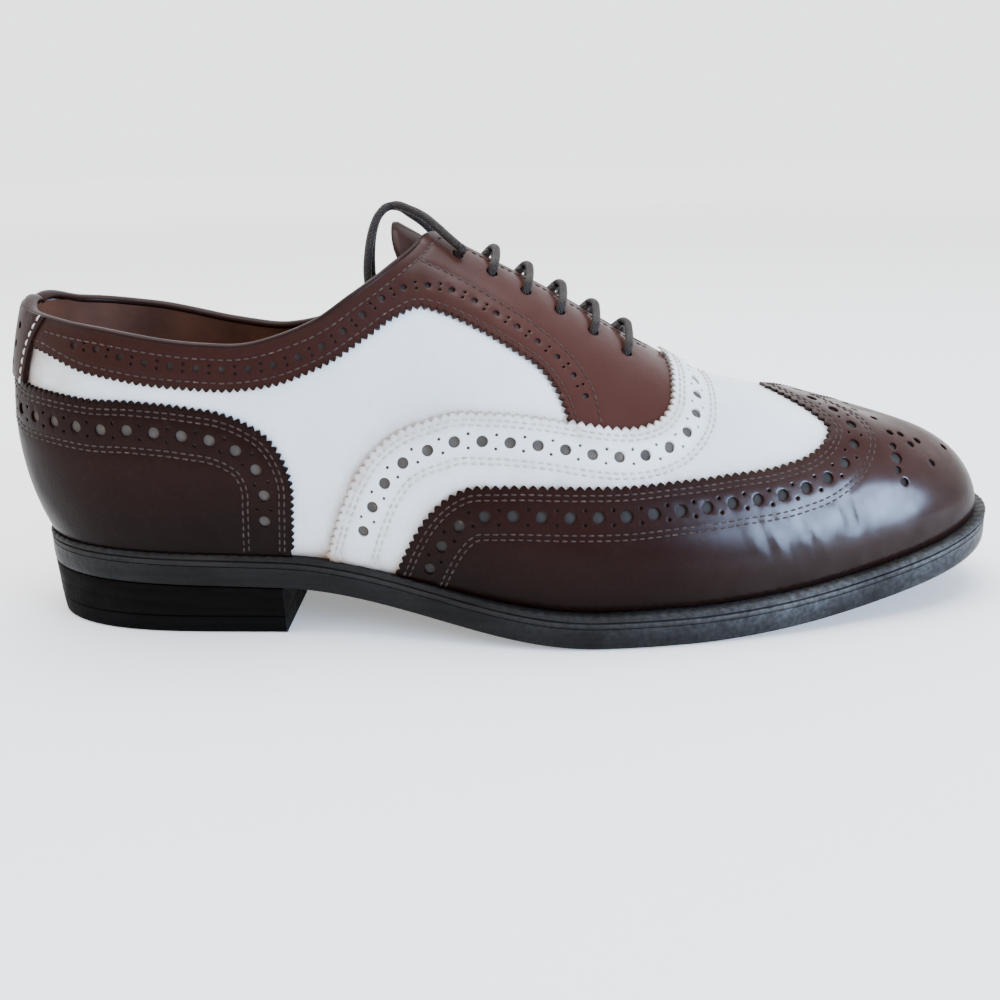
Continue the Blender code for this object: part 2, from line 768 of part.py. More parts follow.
def tube(name, points, radius, look, sides=6):
    """A round bar along a path, closed at both ends."""
    path = [Vector(p) for p in to_frame(np.array(points))]
    bm = bmesh.new()
    rings = []
    for i, point in enumerate(path):
        ahead = path[min(i + 1, len(path) - 1)] - path[max(i - 1, 0)]
        across = ahead.cross(Vector((1, 0, 0))).normalized()
        upward = across.cross(ahead).normalized()
        angles = [2 * math.pi * k / sides for k in range(sides)]
        rings.append([
            bm.verts.new(point + (across * math.cos(a) + upward * math.sin(a)) * radius)
            for a in angles
        ])
    for first, second in zip(rings, rings[1:]):
        for k in range(sides):
            n = (k + 1) % sides
            bm.faces.new((first[k], first[n], second[n], second[k]))
    bm.faces.new(rings[0])
    bm.faces.new(rings[-1][::-1])
    return add_object(name, bm, look)


# A lace bar from its eyelet over the crest and down into the slit
# across: share of the eyelet's distance from the crest. back and lift: metres.
#  across  back     lift
LACE_BAR = np.array([
    (0.98, 0.0000, 0.0000),
    (0.75, -0.0003, 0.0003),
    (0.48, -0.0003, 0.0005),
    (0.22, 0.0004, 0.0003),
    (0.02, 0.0014, -0.0004),
    (-0.07, 0.0022, -0.0026),
])


def lace_bar(number, side):
    """Path of one bar from an eyelet, crossing the other bar over the slit."""
    x, inset = eyelet_place(number)
    path = []
    for across, back, lift in LACE_BAR:
        point, _ = at_crest_distance(x - back, inset * across * side, LACE_LIFT + lift)
        path.append(point)
    return path


def make_lace_crossings():
    """Five crossings, each two bars joined, above the facings."""
    for number in range(EYELET_PAIRS - 1):
        name = f"lace_cross_{number + 1}"
        bar = tube(name, lace_bar(number, OUTER), LACE_RADIUS, LACE_COTTON)
        other = tube(name + "_inner", lace_bar(number, INNER), LACE_RADIUS, LACE_COTTON)
        other.hide_render = True
        other.display_type = "WIRE"
        boolean(bar, other, "UNION")


# Lace ends from the top eyelets over the tongue and down inside, chosen by hand, metres
# in sole coordinates
OUTER_LACE_END = [
    (0.1365, -0.0070, 0.1097),
    (0.1330, -0.0054, 0.1126),
    (0.1293, -0.0033, 0.1158),
    (0.1252, -0.0006, 0.1188),
    (0.1210, 0.0012, 0.1207),
    (0.1172, 0.0019, 0.1219),
    (0.1141, 0.0016, 0.1212),
    (0.1117, 0.0006, 0.1189),
    (0.1101, -0.0006, 0.1155),
    (0.1091, -0.0020, 0.1117),
    (0.1085, -0.0035, 0.1076),
    (0.1082, -0.0048, 0.1035),
    (0.1084, -0.0060, 0.0996),
    (0.1089, -0.0070, 0.0957),
    (0.1096, -0.0079, 0.0919),
    (0.1104, -0.0085, 0.0882),
]
INNER_LACE_END = [
    (0.1354, 0.0161, 0.1029),
    (0.1320, 0.0152, 0.1068),
    (0.1284, 0.0137, 0.1112),
    (0.1246, 0.0116, 0.1157),
    (0.1207, 0.0096, 0.1188),
    (0.1172, 0.0083, 0.1211),
    (0.1140, 0.0080, 0.1213),
    (0.1114, 0.0089, 0.1194),
    (0.1096, 0.0101, 0.1163),
    (0.1084, 0.0113, 0.1126),
    (0.1077, 0.0124, 0.1086),
    (0.1073, 0.0134, 0.1045),
    (0.1072, 0.0142, 0.1004),
    (0.1075, 0.0148, 0.0963),
    (0.1082, 0.0152, 0.0922),
    (0.1090, 0.0153, 0.0882),
]


def cord(name, points, radius, look):
    """A free end of lace as a curve with a round section and closed ends."""
    data = bpy.data.curves.new(name, "CURVE")
    data.dimensions = "3D"
    data.bevel_depth = radius
    data.bevel_resolution = 2
    data.use_fill_caps = True
    spline = data.splines.new("POLY")
    spline.points.add(len(points) - 1)
    for target, point in zip(spline.points, to_frame(np.array(points))):
        target.co = (*point, 1)
    made = bpy.data.objects.new(name, data)
    bpy.context.scene.collection.objects.link(made)
    data.materials.append(material(name + "_" + look[0], look[1], look[2]))
    return made


def clear_scene():
    """Remove whatever the open file holds."""
    for old in list(bpy.data.objects):
        bpy.data.objects.remove(old, do_unlink=True)


def main():
    clear_scene()
    bpy.context.scene.unit_settings.system = "METRIC"
    make_heel()
    make_sole()
    upper = make_upper()
    make_counter()
    make_back_strip()
    make_vamp()
    make_wing_cap()
    make_tongue()
    cutter = make_eyelet_cutter()
    boolean(upper, cutter, "DIFFERENCE")
    for side, name in ((OUTER, "facing_outer"), (INNER, "facing_inner")):
        boolean(make_facing(side, name), cutter, "DIFFERENCE")
    make_lace_crossings()
    cord("lace_end_outer", OUTER_LACE_END, LACE_RADIUS, LACE_COTTON)
    cord("lace_end_inner", INNER_LACE_END, LACE_RADIUS, LACE_COTTON)


main()
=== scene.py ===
# %% [markdown]
# # A spectator shoe
# The shoe is a two-tone lace-up: white calf with brown overlays, punched, pinked and
# stitched, on a welted leather sole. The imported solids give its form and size. This
# lesson dresses them: every leather piece is cut again from the same last, as a fine
# mesh with real teeth and holes. The first cell loads the solids as a fixed frame.

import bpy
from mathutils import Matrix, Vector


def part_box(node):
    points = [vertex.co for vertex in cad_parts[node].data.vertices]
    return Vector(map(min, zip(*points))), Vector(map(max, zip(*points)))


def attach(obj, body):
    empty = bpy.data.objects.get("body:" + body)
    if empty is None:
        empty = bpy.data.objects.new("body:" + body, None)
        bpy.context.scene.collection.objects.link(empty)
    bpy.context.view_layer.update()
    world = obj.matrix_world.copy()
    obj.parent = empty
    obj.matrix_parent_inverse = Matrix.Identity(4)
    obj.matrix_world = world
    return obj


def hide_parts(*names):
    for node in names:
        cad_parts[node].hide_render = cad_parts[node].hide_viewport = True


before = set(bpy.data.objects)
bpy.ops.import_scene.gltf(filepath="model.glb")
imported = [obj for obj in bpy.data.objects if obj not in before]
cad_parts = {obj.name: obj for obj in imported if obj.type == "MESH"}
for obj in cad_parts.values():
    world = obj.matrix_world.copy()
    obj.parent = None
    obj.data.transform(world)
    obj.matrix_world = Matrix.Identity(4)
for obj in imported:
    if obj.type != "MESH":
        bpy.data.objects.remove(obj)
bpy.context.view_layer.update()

# %% Blender's modules
import math

import bmesh
import bpy
import numpy as np
from mathutils import Matrix, Vector
from mathutils.geometry import delaunay_2d_cdt
from mathutils.kdtree import KDTree

# %% [markdown]
# ## Sizes
# The same sizes as the solids have, in metres. A shoe is built on a last, so nearly
# every length is a share of the sole's length, the ball's width or the instep's height.

# %% Sizes of the last and the sole
SOLE_LENGTH = 0.305
BALL_WIDTH = 0.097
INSTEP_HEIGHT = 0.112
HEEL_HEIGHT = 0.017
BREAST_HEIGHT = 0.0145
TOE_SPRING = 0.0165
HEEL_LENGTH = 0.082
OUTSOLE = 0.0065
WELT = 0.0040
TOP_LIFT = 0.0055
INSOLE = 0.0025
UPPER_WALL = 0.0020
EDGE_HEEL = 0.0022
EDGE_FOREPART = 0.0058
TREAD_START = 0.575
TREAD_END = 0.660
CREST_SHIFT = 0.062
MM = 0.001

# %% Rows of the last, heel to toe
#  foot_x outer  inner crest_x crest_z bulge rise  round
SECTIONS = np.array([
    (0.014, 0.000, 0.000, 0.175, 1.420, 0.083, 2.00, 2.00),
    (0.024, 0.140, 0.135, 0.176, 1.420, 0.080, 2.00, 2.00),
    (0.062, 0.265, 0.258, 0.180, 1.410, 0.060, 2.10, 2.00),
    (0.120, 0.335, 0.315, 0.195, 1.380, 0.045, 2.20, 2.00),
    (0.210, 0.365, 0.300, 0.235, 1.300, 0.035, 2.10, 2.00),
    (0.310, 0.385, 0.255, 0.310, 1.195, 0.035, 1.75, 2.00),
    (0.410, 0.430, 0.240, 0.410, 1.030, 0.040, 1.55, 2.00),
    (0.510, 0.485, 0.315, 0.510, 0.882, 0.040, 1.50, 2.00),
    (0.600, 0.490, 0.430, 0.600, 0.735, 0.030, 1.55, 2.00),
    (0.690, 0.447, 0.500, 0.682, 0.610, 0.020, 1.70, 2.05),
    (0.775, 0.380, 0.500, 0.745, 0.560, 0.012, 1.85, 2.10),
    (0.850, 0.300, 0.445, 0.795, 0.525, 0.008, 2.00, 2.10),
    (0.915, 0.212, 0.350, 0.828, 0.495, 0.006, 2.00, 2.10),
    (0.956, 0.105, 0.242, 0.842, 0.482, 0.004, 1.85, 2.00),
    (0.974, 0.062, 0.062, 0.845, 0.478, 0.004, 1.85, 2.00),
])

# %% Edges of the leather pieces
# along: 0 at the heel's back, 1 at the toe's tip. up: 0 at the welt, 1 at the crest.
TOPLINE = [
    (0.000, 0.462), (0.064, 0.453), (0.111, 0.450), (0.153, 0.450), (0.192, 0.450),
    (0.230, 0.456), (0.269, 0.471), (0.297, 0.502), (0.326, 0.552), (0.358, 0.644),
    (0.389, 0.756), (0.412, 0.870),
]
FACING_EDGE = [
    (0.045, 0.376), (0.135, 0.367), (0.174, 0.362), (0.222, 0.366), (0.257, 0.374),
    (0.297, 0.403), (0.336, 0.468), (0.371, 0.563), (0.397, 0.646), (0.417, 0.693),
    (0.434, 0.700), (0.466, 0.692), (0.496, 0.670), (0.523, 0.639), (0.535, 0.598),
    (0.543, 0.545), (0.547, 0.509),
]
VAMP_EDGE = [
    (0.328, 0.000), (0.344, 0.132), (0.360, 0.230), (0.377, 0.303), (0.401, 0.369),
    (0.423, 0.411), (0.444, 0.446), (0.478, 0.474), (0.509, 0.493), (0.541, 0.507),
    (0.566, 0.513), (0.590, 0.524), (0.612, 0.550), (0.628, 0.590), (0.641, 0.667),
    (0.646, 0.764), (0.648, 0.876), (0.645, 1.000),
]
WING_EDGE = [
    (0.391, 0.000), (0.405, 0.092), (0.419, 0.165), (0.436, 0.226), (0.456, 0.270),
    (0.484, 0.294), (0.532, 0.323), (0.588, 0.351), (0.641, 0.393), (0.690, 0.435),
    (0.742, 0.470), (0.778, 0.519), (0.800, 0.587), (0.812, 0.664), (0.806, 0.748),
    (0.788, 0.869), (0.768, 1.000),
]
COUNTER_EDGE = [
    (0.000, 0.318), (0.076, 0.314), (0.135, 0.312), (0.174, 0.321), (0.220, 0.323),
    (0.247, 0.318), (0.267, 0.301), (0.285, 0.271), (0.295, 0.231), (0.301, 0.178),
    (0.300, 0.109), (0.296, 0.000),
]

# %% [markdown]
# ## The last
# The last is a loop of ribs. Each rib climbs from the feather line, where the upper
# meets the welt, to the crest over the instep. One smooth closed curve carries the
# rows round the shoe, so a rib can be asked for anywhere.


# %% An ease, a running total, unit directions
def smooth(t):
    """An ease: 3 t squared less 2 t cubed, held at 0 and 1 outside."""
    t = np.clip(t, 0, 1)
    return t * t * (3 - 2 * t)


def running(steps):
    """Running total of steps, from 0."""
    return np.concatenate([[0], np.cumsum(steps)])


def unit(ways):
    """Directions divided by their own lengths."""
    return ways / np.linalg.norm(ways, axis=-1, keepdims=True)


# %% Under and over the sole
def sole_underside(x):
    """Height under the sole: heel seat, a cubic through the waist, flat, toe spring."""
    tread_start = TREAD_START * SOLE_LENGTH
    tread_end = TREAD_END * SOLE_LENGTH
    fall = (BREAST_HEIGHT - HEEL_HEIGHT) / HEEL_LENGTH
    span = tread_start - HEEL_LENGTH
    t = np.clip((x - HEEL_LENGTH) / span, 0, 1)
    waist = (2 * t**3 - 3 * t**2 + 1) * BREAST_HEIGHT
    waist = waist + (t**3 - 2 * t**2 + t) * fall * span
    toe = TOE_SPRING * (np.clip(x - tread_end, 0, None) / (SOLE_LENGTH - tread_end)) ** 1.8
    return np.where(x < HEEL_LENGTH, HEEL_HEIGHT + fall * x, np.where(x < tread_start, waist, toe))


def sole_top(x):
    """Top of the outsole, one thickness over its underside."""
    return sole_underside(x) + OUTSOLE


# %% A closed curve through the rows
def loop_spline(knots, rows, at):
    """Closed cubic spline: each piece is a cubic, and slope and bend match at every row."""
    count = len(knots) - 1
    step = np.diff(knots)
    pull = np.diff(rows, axis=0) / step[:, None]
    order = np.arange(count)
    matrix = np.zeros((count, count))
    matrix[order, order - 1] += step[order - 1]
    matrix[order, order] += 2 * (step[order - 1] + step)
    matrix[order, (order + 1) % count] += step
    bend = np.linalg.solve(matrix, 6 * (pull - np.roll(pull, 1, axis=0)))
    bend = np.vstack([bend, bend[:1]])
    at = np.mod(at, knots[-1])
    i = np.clip(np.searchsorted(knots, at, side="right") - 1, 0, count - 1)
    back = (at - knots[i])[:, None]
    h = step[i][:, None]
    ahead = h - back
    curve = (bend[i] * ahead**3 + bend[i + 1] * back**3) / (6 * h)
    curve = curve + (rows[i] / h - bend[i] * h / 6) * ahead
    return curve + (rows[i + 1] / h - bend[i + 1] * h / 6) * back


def section_loop():
    """Knots and rows round the shoe: heel, outer side, toe, inner side, heel."""
    foot_x, outer, inner, crest_x, crest_z, bulge, rise, rounding = SECTIONS.T
    shared = [crest_x * SOLE_LENGTH, crest_z * INSTEP_HEIGHT, bulge * BALL_WIDTH, rise, rounding]
    outer_y = -outer * BALL_WIDTH
    outer_y[-1] = CREST_SHIFT * BALL_WIDTH
    outer_rows = np.column_stack([foot_x * SOLE_LENGTH, outer_y] + shared)
    inner_rows = np.column_stack([foot_x * SOLE_LENGTH, inner * BALL_WIDTH] + shared)
    outer_step = np.hypot(*np.diff(outer_rows[:, :2], axis=0).T)
    inner_step = np.hypot(*np.diff(inner_rows[:, :2], axis=0).T)
    step = (outer_step + inner_step) / 2
    knots = running(np.concatenate([step, step[::-1]]))
    return knots, np.vstack([outer_rows, inner_rows[-2:0:-1], outer_rows[:1]])


KNOTS, LOOP_ROWS = section_loop()
TOE_KNOT = KNOTS[len(SECTIONS) - 1]


# %% Ribs and their normals
# climb (1 - climb) squared peaks at 4/27, so this scale gives the bulge its stated height
BULGE_SCALE = 6.75
TOE_SLOPE = 0.30


def crest_shift(x):
    """Sideways lean of the crest line: an ease along the sole's length."""
    return CREST_SHIFT * BALL_WIDTH * smooth((x / SOLE_LENGTH - 0.15) / 0.35)


def rib_points(along, tau):
    """A quarter of a superellipse from foot to crest: height by sine, reach by cosine.

    A bulge low on the side is added to the reach, and near the toe the side is tipped
    down a little between foot and crest.
    """
    row = loop_spline(KNOTS, LOOP_ROWS, along.ravel() * TOE_KNOT)
    foot_x, foot_y, crest_x, crest_z, bulge, rise, rounding = (
        row[:, k].reshape(along.shape) for k in range(7)
    )
    foot_z = sole_top(foot_x) + WELT
    climb = np.sin(tau * np.pi / 2) ** (2 / rise)
    reach = np.clip(np.cos(tau * np.pi / 2), 0, 1) ** (2 / rounding)
    crest_y = crest_shift(crest_x)
    span = np.hypot(foot_x - crest_x, foot_y - crest_y)
    wide = reach + bulge / span * BULGE_SCALE * climb * (1 - climb) ** 2
    slope = -TOE_SLOPE * smooth((crest_x / SOLE_LENGTH - 0.60) / 0.22)
    z = foot_z + (crest_z - foot_z) * climb
    z = z + slope * (foot_x - crest_x) * reach * (1 - reach) ** 2
    return np.stack([
        crest_x + (foot_x - crest_x) * wide, crest_y + (foot_y - crest_y) * wide, z
    ], axis=-1)


# %% Normals of the last
def rib_normals(along, tau):
    """Cross product of the steps forward and upward; level at the foot, upright on the crest."""
    middle = np.clip(tau, 0.005, 0.985)
    forward = rib_points(along + 0.002, middle) - rib_points(along - 0.002, middle)
    upward = rib_points(along, np.clip(tau + 0.01, 0.02, 0.995))
    upward = upward - rib_points(along, np.clip(tau - 0.01, 0, 0.975))
    normal = np.cross(forward, upward)
    run = SECTIONS[:, 3] * SOLE_LENGTH
    fall = np.diff(SECTIONS[:, 4] * INSTEP_HEIGHT) / np.diff(run)
    crest = rib_points(along, np.ones_like(tau))[..., 0]
    tilt = -np.interp(crest, (run[1:] + run[:-1]) / 2, fall)
    flat = np.stack([tilt, 0 * crest, 0 * crest + 1], axis=-1)
    normal = np.where((tau > 0.9999)[..., None], flat, normal)
    normal = np.where((tau < 0.0001)[..., None], normal * (1, 1, 0), normal)
    return unit(normal)


# %% Sole outline, and the frame's origin
def outline(along, outward):
    """Feather line moved out by a distance along its plan normal."""
    foot = rib_points(along, 0 * along)[..., :2]
    ahead = rib_points(along + 0.004, 0 * along)[..., :2]
    ahead = ahead - rib_points(along - 0.004, 0 * along)[..., :2]
    normal = np.stack([ahead[..., 1], -ahead[..., 0]], axis=-1)
    return foot + unit(normal) * outward[..., None]


def edge_width(along):
    """How far the sole stands out: narrow at the heel, eased to wide at the forepart."""
    foot_x = rib_points(along, 0 * along)[..., 0]
    return EDGE_HEEL + (EDGE_FOREPART - EDGE_HEEL) * smooth((foot_x / SOLE_LENGTH - 0.25) / 0.3)


heel_back = outline(np.zeros(1), edge_width(np.zeros(1)))[0, 0]
ORIGIN_X = heel_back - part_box("outsole")[0].x
sides = outline(np.linspace(-1, 1, 801), edge_width(np.linspace(-1, 1, 801)))[:, 1]
ORIGIN_Y = (sides.min() + sides.max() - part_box("outsole")[0].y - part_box("outsole")[1].y) / 2
ORIGIN = np.array([ORIGIN_X, ORIGIN_Y, 0.0])
print("origin in sole coordinates, mm", np.round(ORIGIN * 1000, 2))

# %% [markdown]
# ## Camera
# The photograph was taken with the shoe's outer side square to the lens, from a little
# above. The camera's place was worked out once from the outline of the real shoe, and
# is kept here as plain sizes: position, pitch, yaw, roll and focal length.

# %% Camera
SENSOR = 36.0
LENS = 39.53
CAMERA_AT = np.array([0.1520, -0.3397, 0.1358])
PITCH, YAW, ROLL = (math.radians(v) for v in (17.48, -0.97, -1.41))


def camera_axes():
    """Forward from pitch and yaw, right level with the floor, then both turned by the roll."""
    level = math.cos(PITCH)
    ahead = Vector((math.sin(YAW) * level, math.cos(YAW) * level, -math.sin(PITCH)))
    right = Vector((math.cos(YAW), -math.sin(YAW), 0))
    above = right.cross(ahead)
    turned = right * math.cos(ROLL) + above * math.sin(ROLL)
    return turned, above * math.cos(ROLL) - right * math.sin(ROLL), ahead


def make_camera():
    """A camera object whose columns are right, up and backward."""
    right, above, ahead = camera_axes()
    data = bpy.data.cameras.new("camera")
    data.sensor_width = SENSOR
    data.lens = LENS
    data.clip_start, data.clip_end = 0.01, 20
    made = bpy.data.objects.new("camera", data)
    bpy.context.scene.collection.objects.link(made)
    turn = Matrix((right, above, -ahead)).transposed().to_4x4()
    made.matrix_world = Matrix.Translation(Vector(CAMERA_AT - ORIGIN)) @ turn
    bpy.context.scene.camera = made
    return made


camera = make_camera()
print("camera at", [round(v, 4) for v in camera.matrix_world.translation])

# %% [markdown]
# ## Helpers for meshes
# Every new piece is a surface worked out with numpy. One function puts arrays of points
# and faces into a mesh, and one makes the faces of a grid.


# %% Meshes from arrays
def grid_faces(rows, columns, wrap_rows=False, wrap_columns=False):
    """Corner indices of a grid's quads, joined end to end where it wraps."""
    i, j = np.meshgrid(
        np.arange(rows if wrap_rows else rows - 1),
        np.arange(columns if wrap_columns else columns - 1), indexing="ij",
    )
    i, j = i.ravel(), j.ravel()
    ahead, beside_it = (i + 1) % rows, (j + 1) % columns
    return np.column_stack([
        i * columns + j, ahead * columns + j, ahead * columns + beside_it, i * columns + beside_it
    ])


def repeated(faces, count, size):
    """The faces of one small shape with a given number of points, once for each copy."""
    shift = (np.arange(count) * size)[:, None, None]
    return (faces[None] + shift).reshape(-1, faces.shape[1])


def to_piece(name, points, face_sets, look, slot, sharp=40, weld=False, **facts):
    """A mesh object from arrays, with facts at its points, smooth but for sharp edges.

    A fact is one number, or one for each point, that the piece's material reads.
    """
    mesh = bpy.data.meshes.new(name)
    faces = [face for faces in face_sets for face in faces.tolist()]
    mesh.from_pydata(points.reshape(-1, 3), [], faces)
    for key, values in facts.items():
        layer = mesh.attributes.new(key, "FLOAT", "POINT")
        layer.data.foreach_set("value", np.full(points.size // 3, values, np.float32))
    if weld:
        bm = bmesh.new()
        bm.from_mesh(mesh)
        bmesh.ops.remove_doubles(bm, verts=bm.verts, dist=2e-5)
        bmesh.ops.dissolve_degenerate(bm, edges=bm.edges, dist=1e-6)
        bm.to_mesh(mesh)
        bm.free()
    mesh.shade_smooth()
    mesh.set_sharp_from_angle(angle=math.radians(sharp))
    made = bpy.data.objects.new(name, mesh)
    bpy.context.scene.collection.objects.link(made)
    mesh.materials.append(look)
    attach(made, "root")
    print(f"{name}: {len(mesh.polygons)} faces")
    return made


# %% [markdown]
# ## Materials
# Each material is named for what the real one is. Colours are written as sRGB hex, as a
# paint chart gives them, and turned to linear light by one function. One more function
# adds a node with its inputs and settings. Short ones put nodes together: patches of a
# real size, coats of colour laid one over the other, and a leather's grain.


# %% Colours and nodes
def linear(code):
    """sRGB hex to linear: divide by 12.92 when dark, else the 2.4 power law."""
    parts = [int(code[k:k + 2], 16) / 255 for k in (0, 2, 4)]
    return (*[p / 12.92 if p <= 0.04045 else ((p + 0.055) / 1.055) ** 2.4 for p in parts], 1)


def feed(tree, node, inputs):
    """Gives each input, by name or number, its value or its link."""
    for key, value in inputs.items():
        if isinstance(value, bpy.types.NodeSocket):
            tree.links.new(value, node.inputs[key])
        else:
            node.inputs[key].default_value = value


def add(tree, kind, inputs=None, output=0, **settings):
    """One node with its settings and inputs; what comes back is one of its outputs."""
    made = tree.nodes.new("ShaderNode" + kind)
    for key, value in settings.items():
        setattr(made, key, value)
    feed(tree, made, inputs or {})
    return made.outputs[output]


def patches(tree, place, size, low, high, top=1.0, detail=4):
    """Noise mapped so that low to high runs from 0 to top.

    A patch is about 0.6 of the noise's cell, so the scale is 0.6 over its real size.
    """
    value = add(tree, "TexNoise", {"Vector": place, "Scale": 0.6 / size, "Detail": detail})
    return add(tree, "MapRange", {
        "Value": value, "From Min": low, "From Max": high, "To Min": 0.0, "To Max": top
    })


def coats(tree, base, *layers):
    """A base colour with coats over it, each a share and a colour."""
    colour = linear(base)
    for share, code in layers:
        colour = add(tree, "Mix", {0: share, 6: colour, 7: linear(code)}, 2, data_type="RGBA")
    return colour


def start_material(name, **sockets):
    """A Principled material with set sockets: (material, tree, shader, object coordinates)."""
    made = bpy.data.materials.new(name)
    made.use_nodes = True
    tree = made.node_tree
    shader = tree.nodes["Principled BSDF"]
    feed(tree, shader, {key.replace("_", " "): value for key, value in sockets.items()})
    return made, tree, shader, add(tree, "TexCoord", output="Object")


def grained(tree, place, pore, depth):
    """Leather grain as a bump: rounded cells one pore wide, and shallow ripples 6 mm long."""
    cells = add(tree, "TexVoronoi", {"Vector": place, "Scale": 1 / pore}, feature="SMOOTH_F1")
    ripple = patches(tree, place, 6 * MM, 0.2, 0.8, 3.0)
    height = add(tree, "Math", {0: cells, 1: ripple}, operation="ADD")
    return add(tree, "Bump", {"Strength": 0.5, "Distance": depth, "Height": height})


# %% [markdown]
# ### Leathers
# White calf is pigment-finished: an even, faintly blue white with a soft sheen and a
# grain seen only in its broken highlight. It tans where dirt sits by the welt, and it
# is darker towards the heel; its tan in the crevices and along the stitch grooves is
# painted shade, and at its cut edges a painted shadow with some dirt. Brown calf is
# aniline-dyed and waxed: the light goes into the dye, so it is deep red-brown where
# polished and nearly black where shaded. Near the welt it is painted darker, as shade,
# and its burnish, the red, is partly painted light. A clear coat stands for the wax.


# %% White calf and brown calf
def white_calf():
    """Pigmented calf: two near whites in broad patches, then dirt and painted shade by the
    stored amount, and a painted shadow, with some dirt, along its cut edges.
    """
    made, tree, shader, place = start_material(
        "white_calf", Roughness=0.42, Specular_IOR_Level=0.45, Coat_Weight=0.15, Coat_Roughness=0.3
    )
    # Dirt by the welt, and painted shade in the crevices and stitch grooves, as one stored amount
    dirt_and_shade = add(tree, "Attribute", output="Fac", attribute_name="dirt_and_shade")
    blotches = patches(tree, place, 5 * MM, 0.15, 0.6)
    dirt_and_shade = add(tree, "Math", {0: dirt_and_shade, 1: blotches}, operation="MULTIPLY")
    # The edge coat is a painted shadow along the cut edges and teeth, with some dirt
    edge = add(tree, "Attribute", output="Fac", attribute_name="edge_mm")
    edge = add(tree, "MapRange", {"Value": edge, "From Max": 0.5, "To Min": 0.75, "To Max": 0.0})
    colour = coats(
        tree, "E4E8EA",
        (patches(tree, place, 22 * MM, 0.35, 0.7), "D3D9DD"),
        (patches(tree, place, 1.6 * MM, 0.60, 0.80, 0.22), "A9A59E"),
        (edge, "83796B"),
        (dirt_and_shade, "8A6A4F"),
    )
    grain = grained(tree, place, 0.9 * MM, 0.05 * MM)
    feed(tree, shader, {"Base Color": colour, "Normal": grain})
    return made


def brown_calf():
    """Waxed aniline calf: dark and red dye in patches, dark at cut edges, painted shade near
    the welt, and red burnish that is partly painted light.

    The wax is the clear coat. Its weight is the stored polish, broken up by streaks.
    """
    made, tree, shader, place = start_material(
        "brown_calf", Specular_IOR_Level=0.04, Coat_Roughness=0.2, Coat_IOR=1.5
    )
    polish = add(tree, "Attribute", output="Fac", attribute_name="polish")
    streak = patches(tree, place, 4 * MM, 0.3, 0.7, 0.5)
    streak = add(tree, "Math", {0: streak, 1: 0.55}, operation="ADD")
    polish = add(tree, "Math", {0: polish, 1: streak}, operation="MULTIPLY")
    edge = add(tree, "Attribute", output="Fac", attribute_name="edge_mm")
    edge = add(tree, "MapRange", {"Value": edge, "From Max": 0.6, "To Min": 0.5, "To Max": 0.0})
    # Painted shade: darker within 24 mm of the welt
    foot = add(tree, "Attribute", output="Fac", attribute_name="foot_mm")
    foot = add(tree, "MapRange", {"Value": foot, "From Max": 24.0, "To Min": 0.75, "To Max": 0.0})
    # Burnish and painted light: a redder, lighter coat stored per piece, much on the cap and facings,
    # little on the counter
    burnish = add(tree, "Attribute", output="Fac", attribute_name="burnish")
    colour = coats(
        tree, "100806",
        (patches(tree, place, 26 * MM, 0.32, 0.68), "1B0D0A"),
        (burnish, "4A2A24"),
        (patches(tree, place, 1.2 * MM, 0.58, 0.85, 0.22), "3A2620"),
        (foot, "0A0504"),
        (edge, "0F0806"),
    )
    rub = patches(tree, place, 9 * MM, 0.3, 0.7, 0.16)
    rough = add(tree, "Math", {0: rub, 1: 0.30}, operation="ADD")
    grain = grained(tree, place, 0.8 * MM, 0.07 * MM)
    feed(tree, shader, {
        "Base Color": colour, "Coat Weight": polish, "Roughness": rough, "Normal": grain
    })
    return made


# %% [markdown]
# ### Linings, thread, lace and sole
# Lining leather has no finish, so it is rough and uneven. Thread is waxed linen, whose
# twist is finer than the render and is drawn as flecks. The lace is a round cotton
# braid: two crossed waves on its own UV map give the diamonds. The sole's edge is inked
# leather: its layers are noise stretched along the edge, with dry grey dust on top, which
# over the forepart also stands for painted sheen.


# %% Plain leather and thread
def rough_stuff(name, base, other, roughness, patch, fleck=("8C7565", 0.3)):
    """An unfinished material: two colours in patches, and flecks of a third."""
    made, tree, shader, place = start_material(name, Roughness=roughness, Specular_IOR_Level=0.35)
    colour = coats(
        tree, base, (patches(tree, place, patch, 0.3, 0.7), other),
        (patches(tree, place, 1.0 * MM, 0.62, 0.8, fleck[1]), fleck[0]),
    )
    grain = grained(tree, place, 0.8 * MM, 0.05 * MM)
    feed(tree, shader, {"Base Color": colour, "Normal": grain})
    return made


# %% Braid
def braided_cotton():
    """Round waxed lace: the greater of two slanted waves is the braid's height."""
    made, tree, shader, place = start_material("braided_cotton", Roughness=0.5, Specular_IOR_Level=0.3)
    run = add(tree, "UVMap", uv_map="run")
    waves = [
        add(tree, "TexWave", {
            "Vector": add(tree, "Mapping", {"Vector": run, "Rotation": (0, 0, turn)}), "Scale": 0.42
        }, 1)
        for turn in (0.9, -0.9)
    ]
    braid = add(tree, "Math", {0: waves[0], 1: waves[1]}, operation="MAXIMUM")
    colour = coats(
        tree, "0B0706", (braid, "1F1511"), (patches(tree, place, 0.9 * MM, 0.55, 0.8, 0.5), "3A2B24")
    )
    bump = add(tree, "Bump", {"Strength": 0.9, "Distance": 0.25 * MM, "Height": braid})
    feed(tree, shader, {"Base Color": colour, "Normal": bump})
    return made


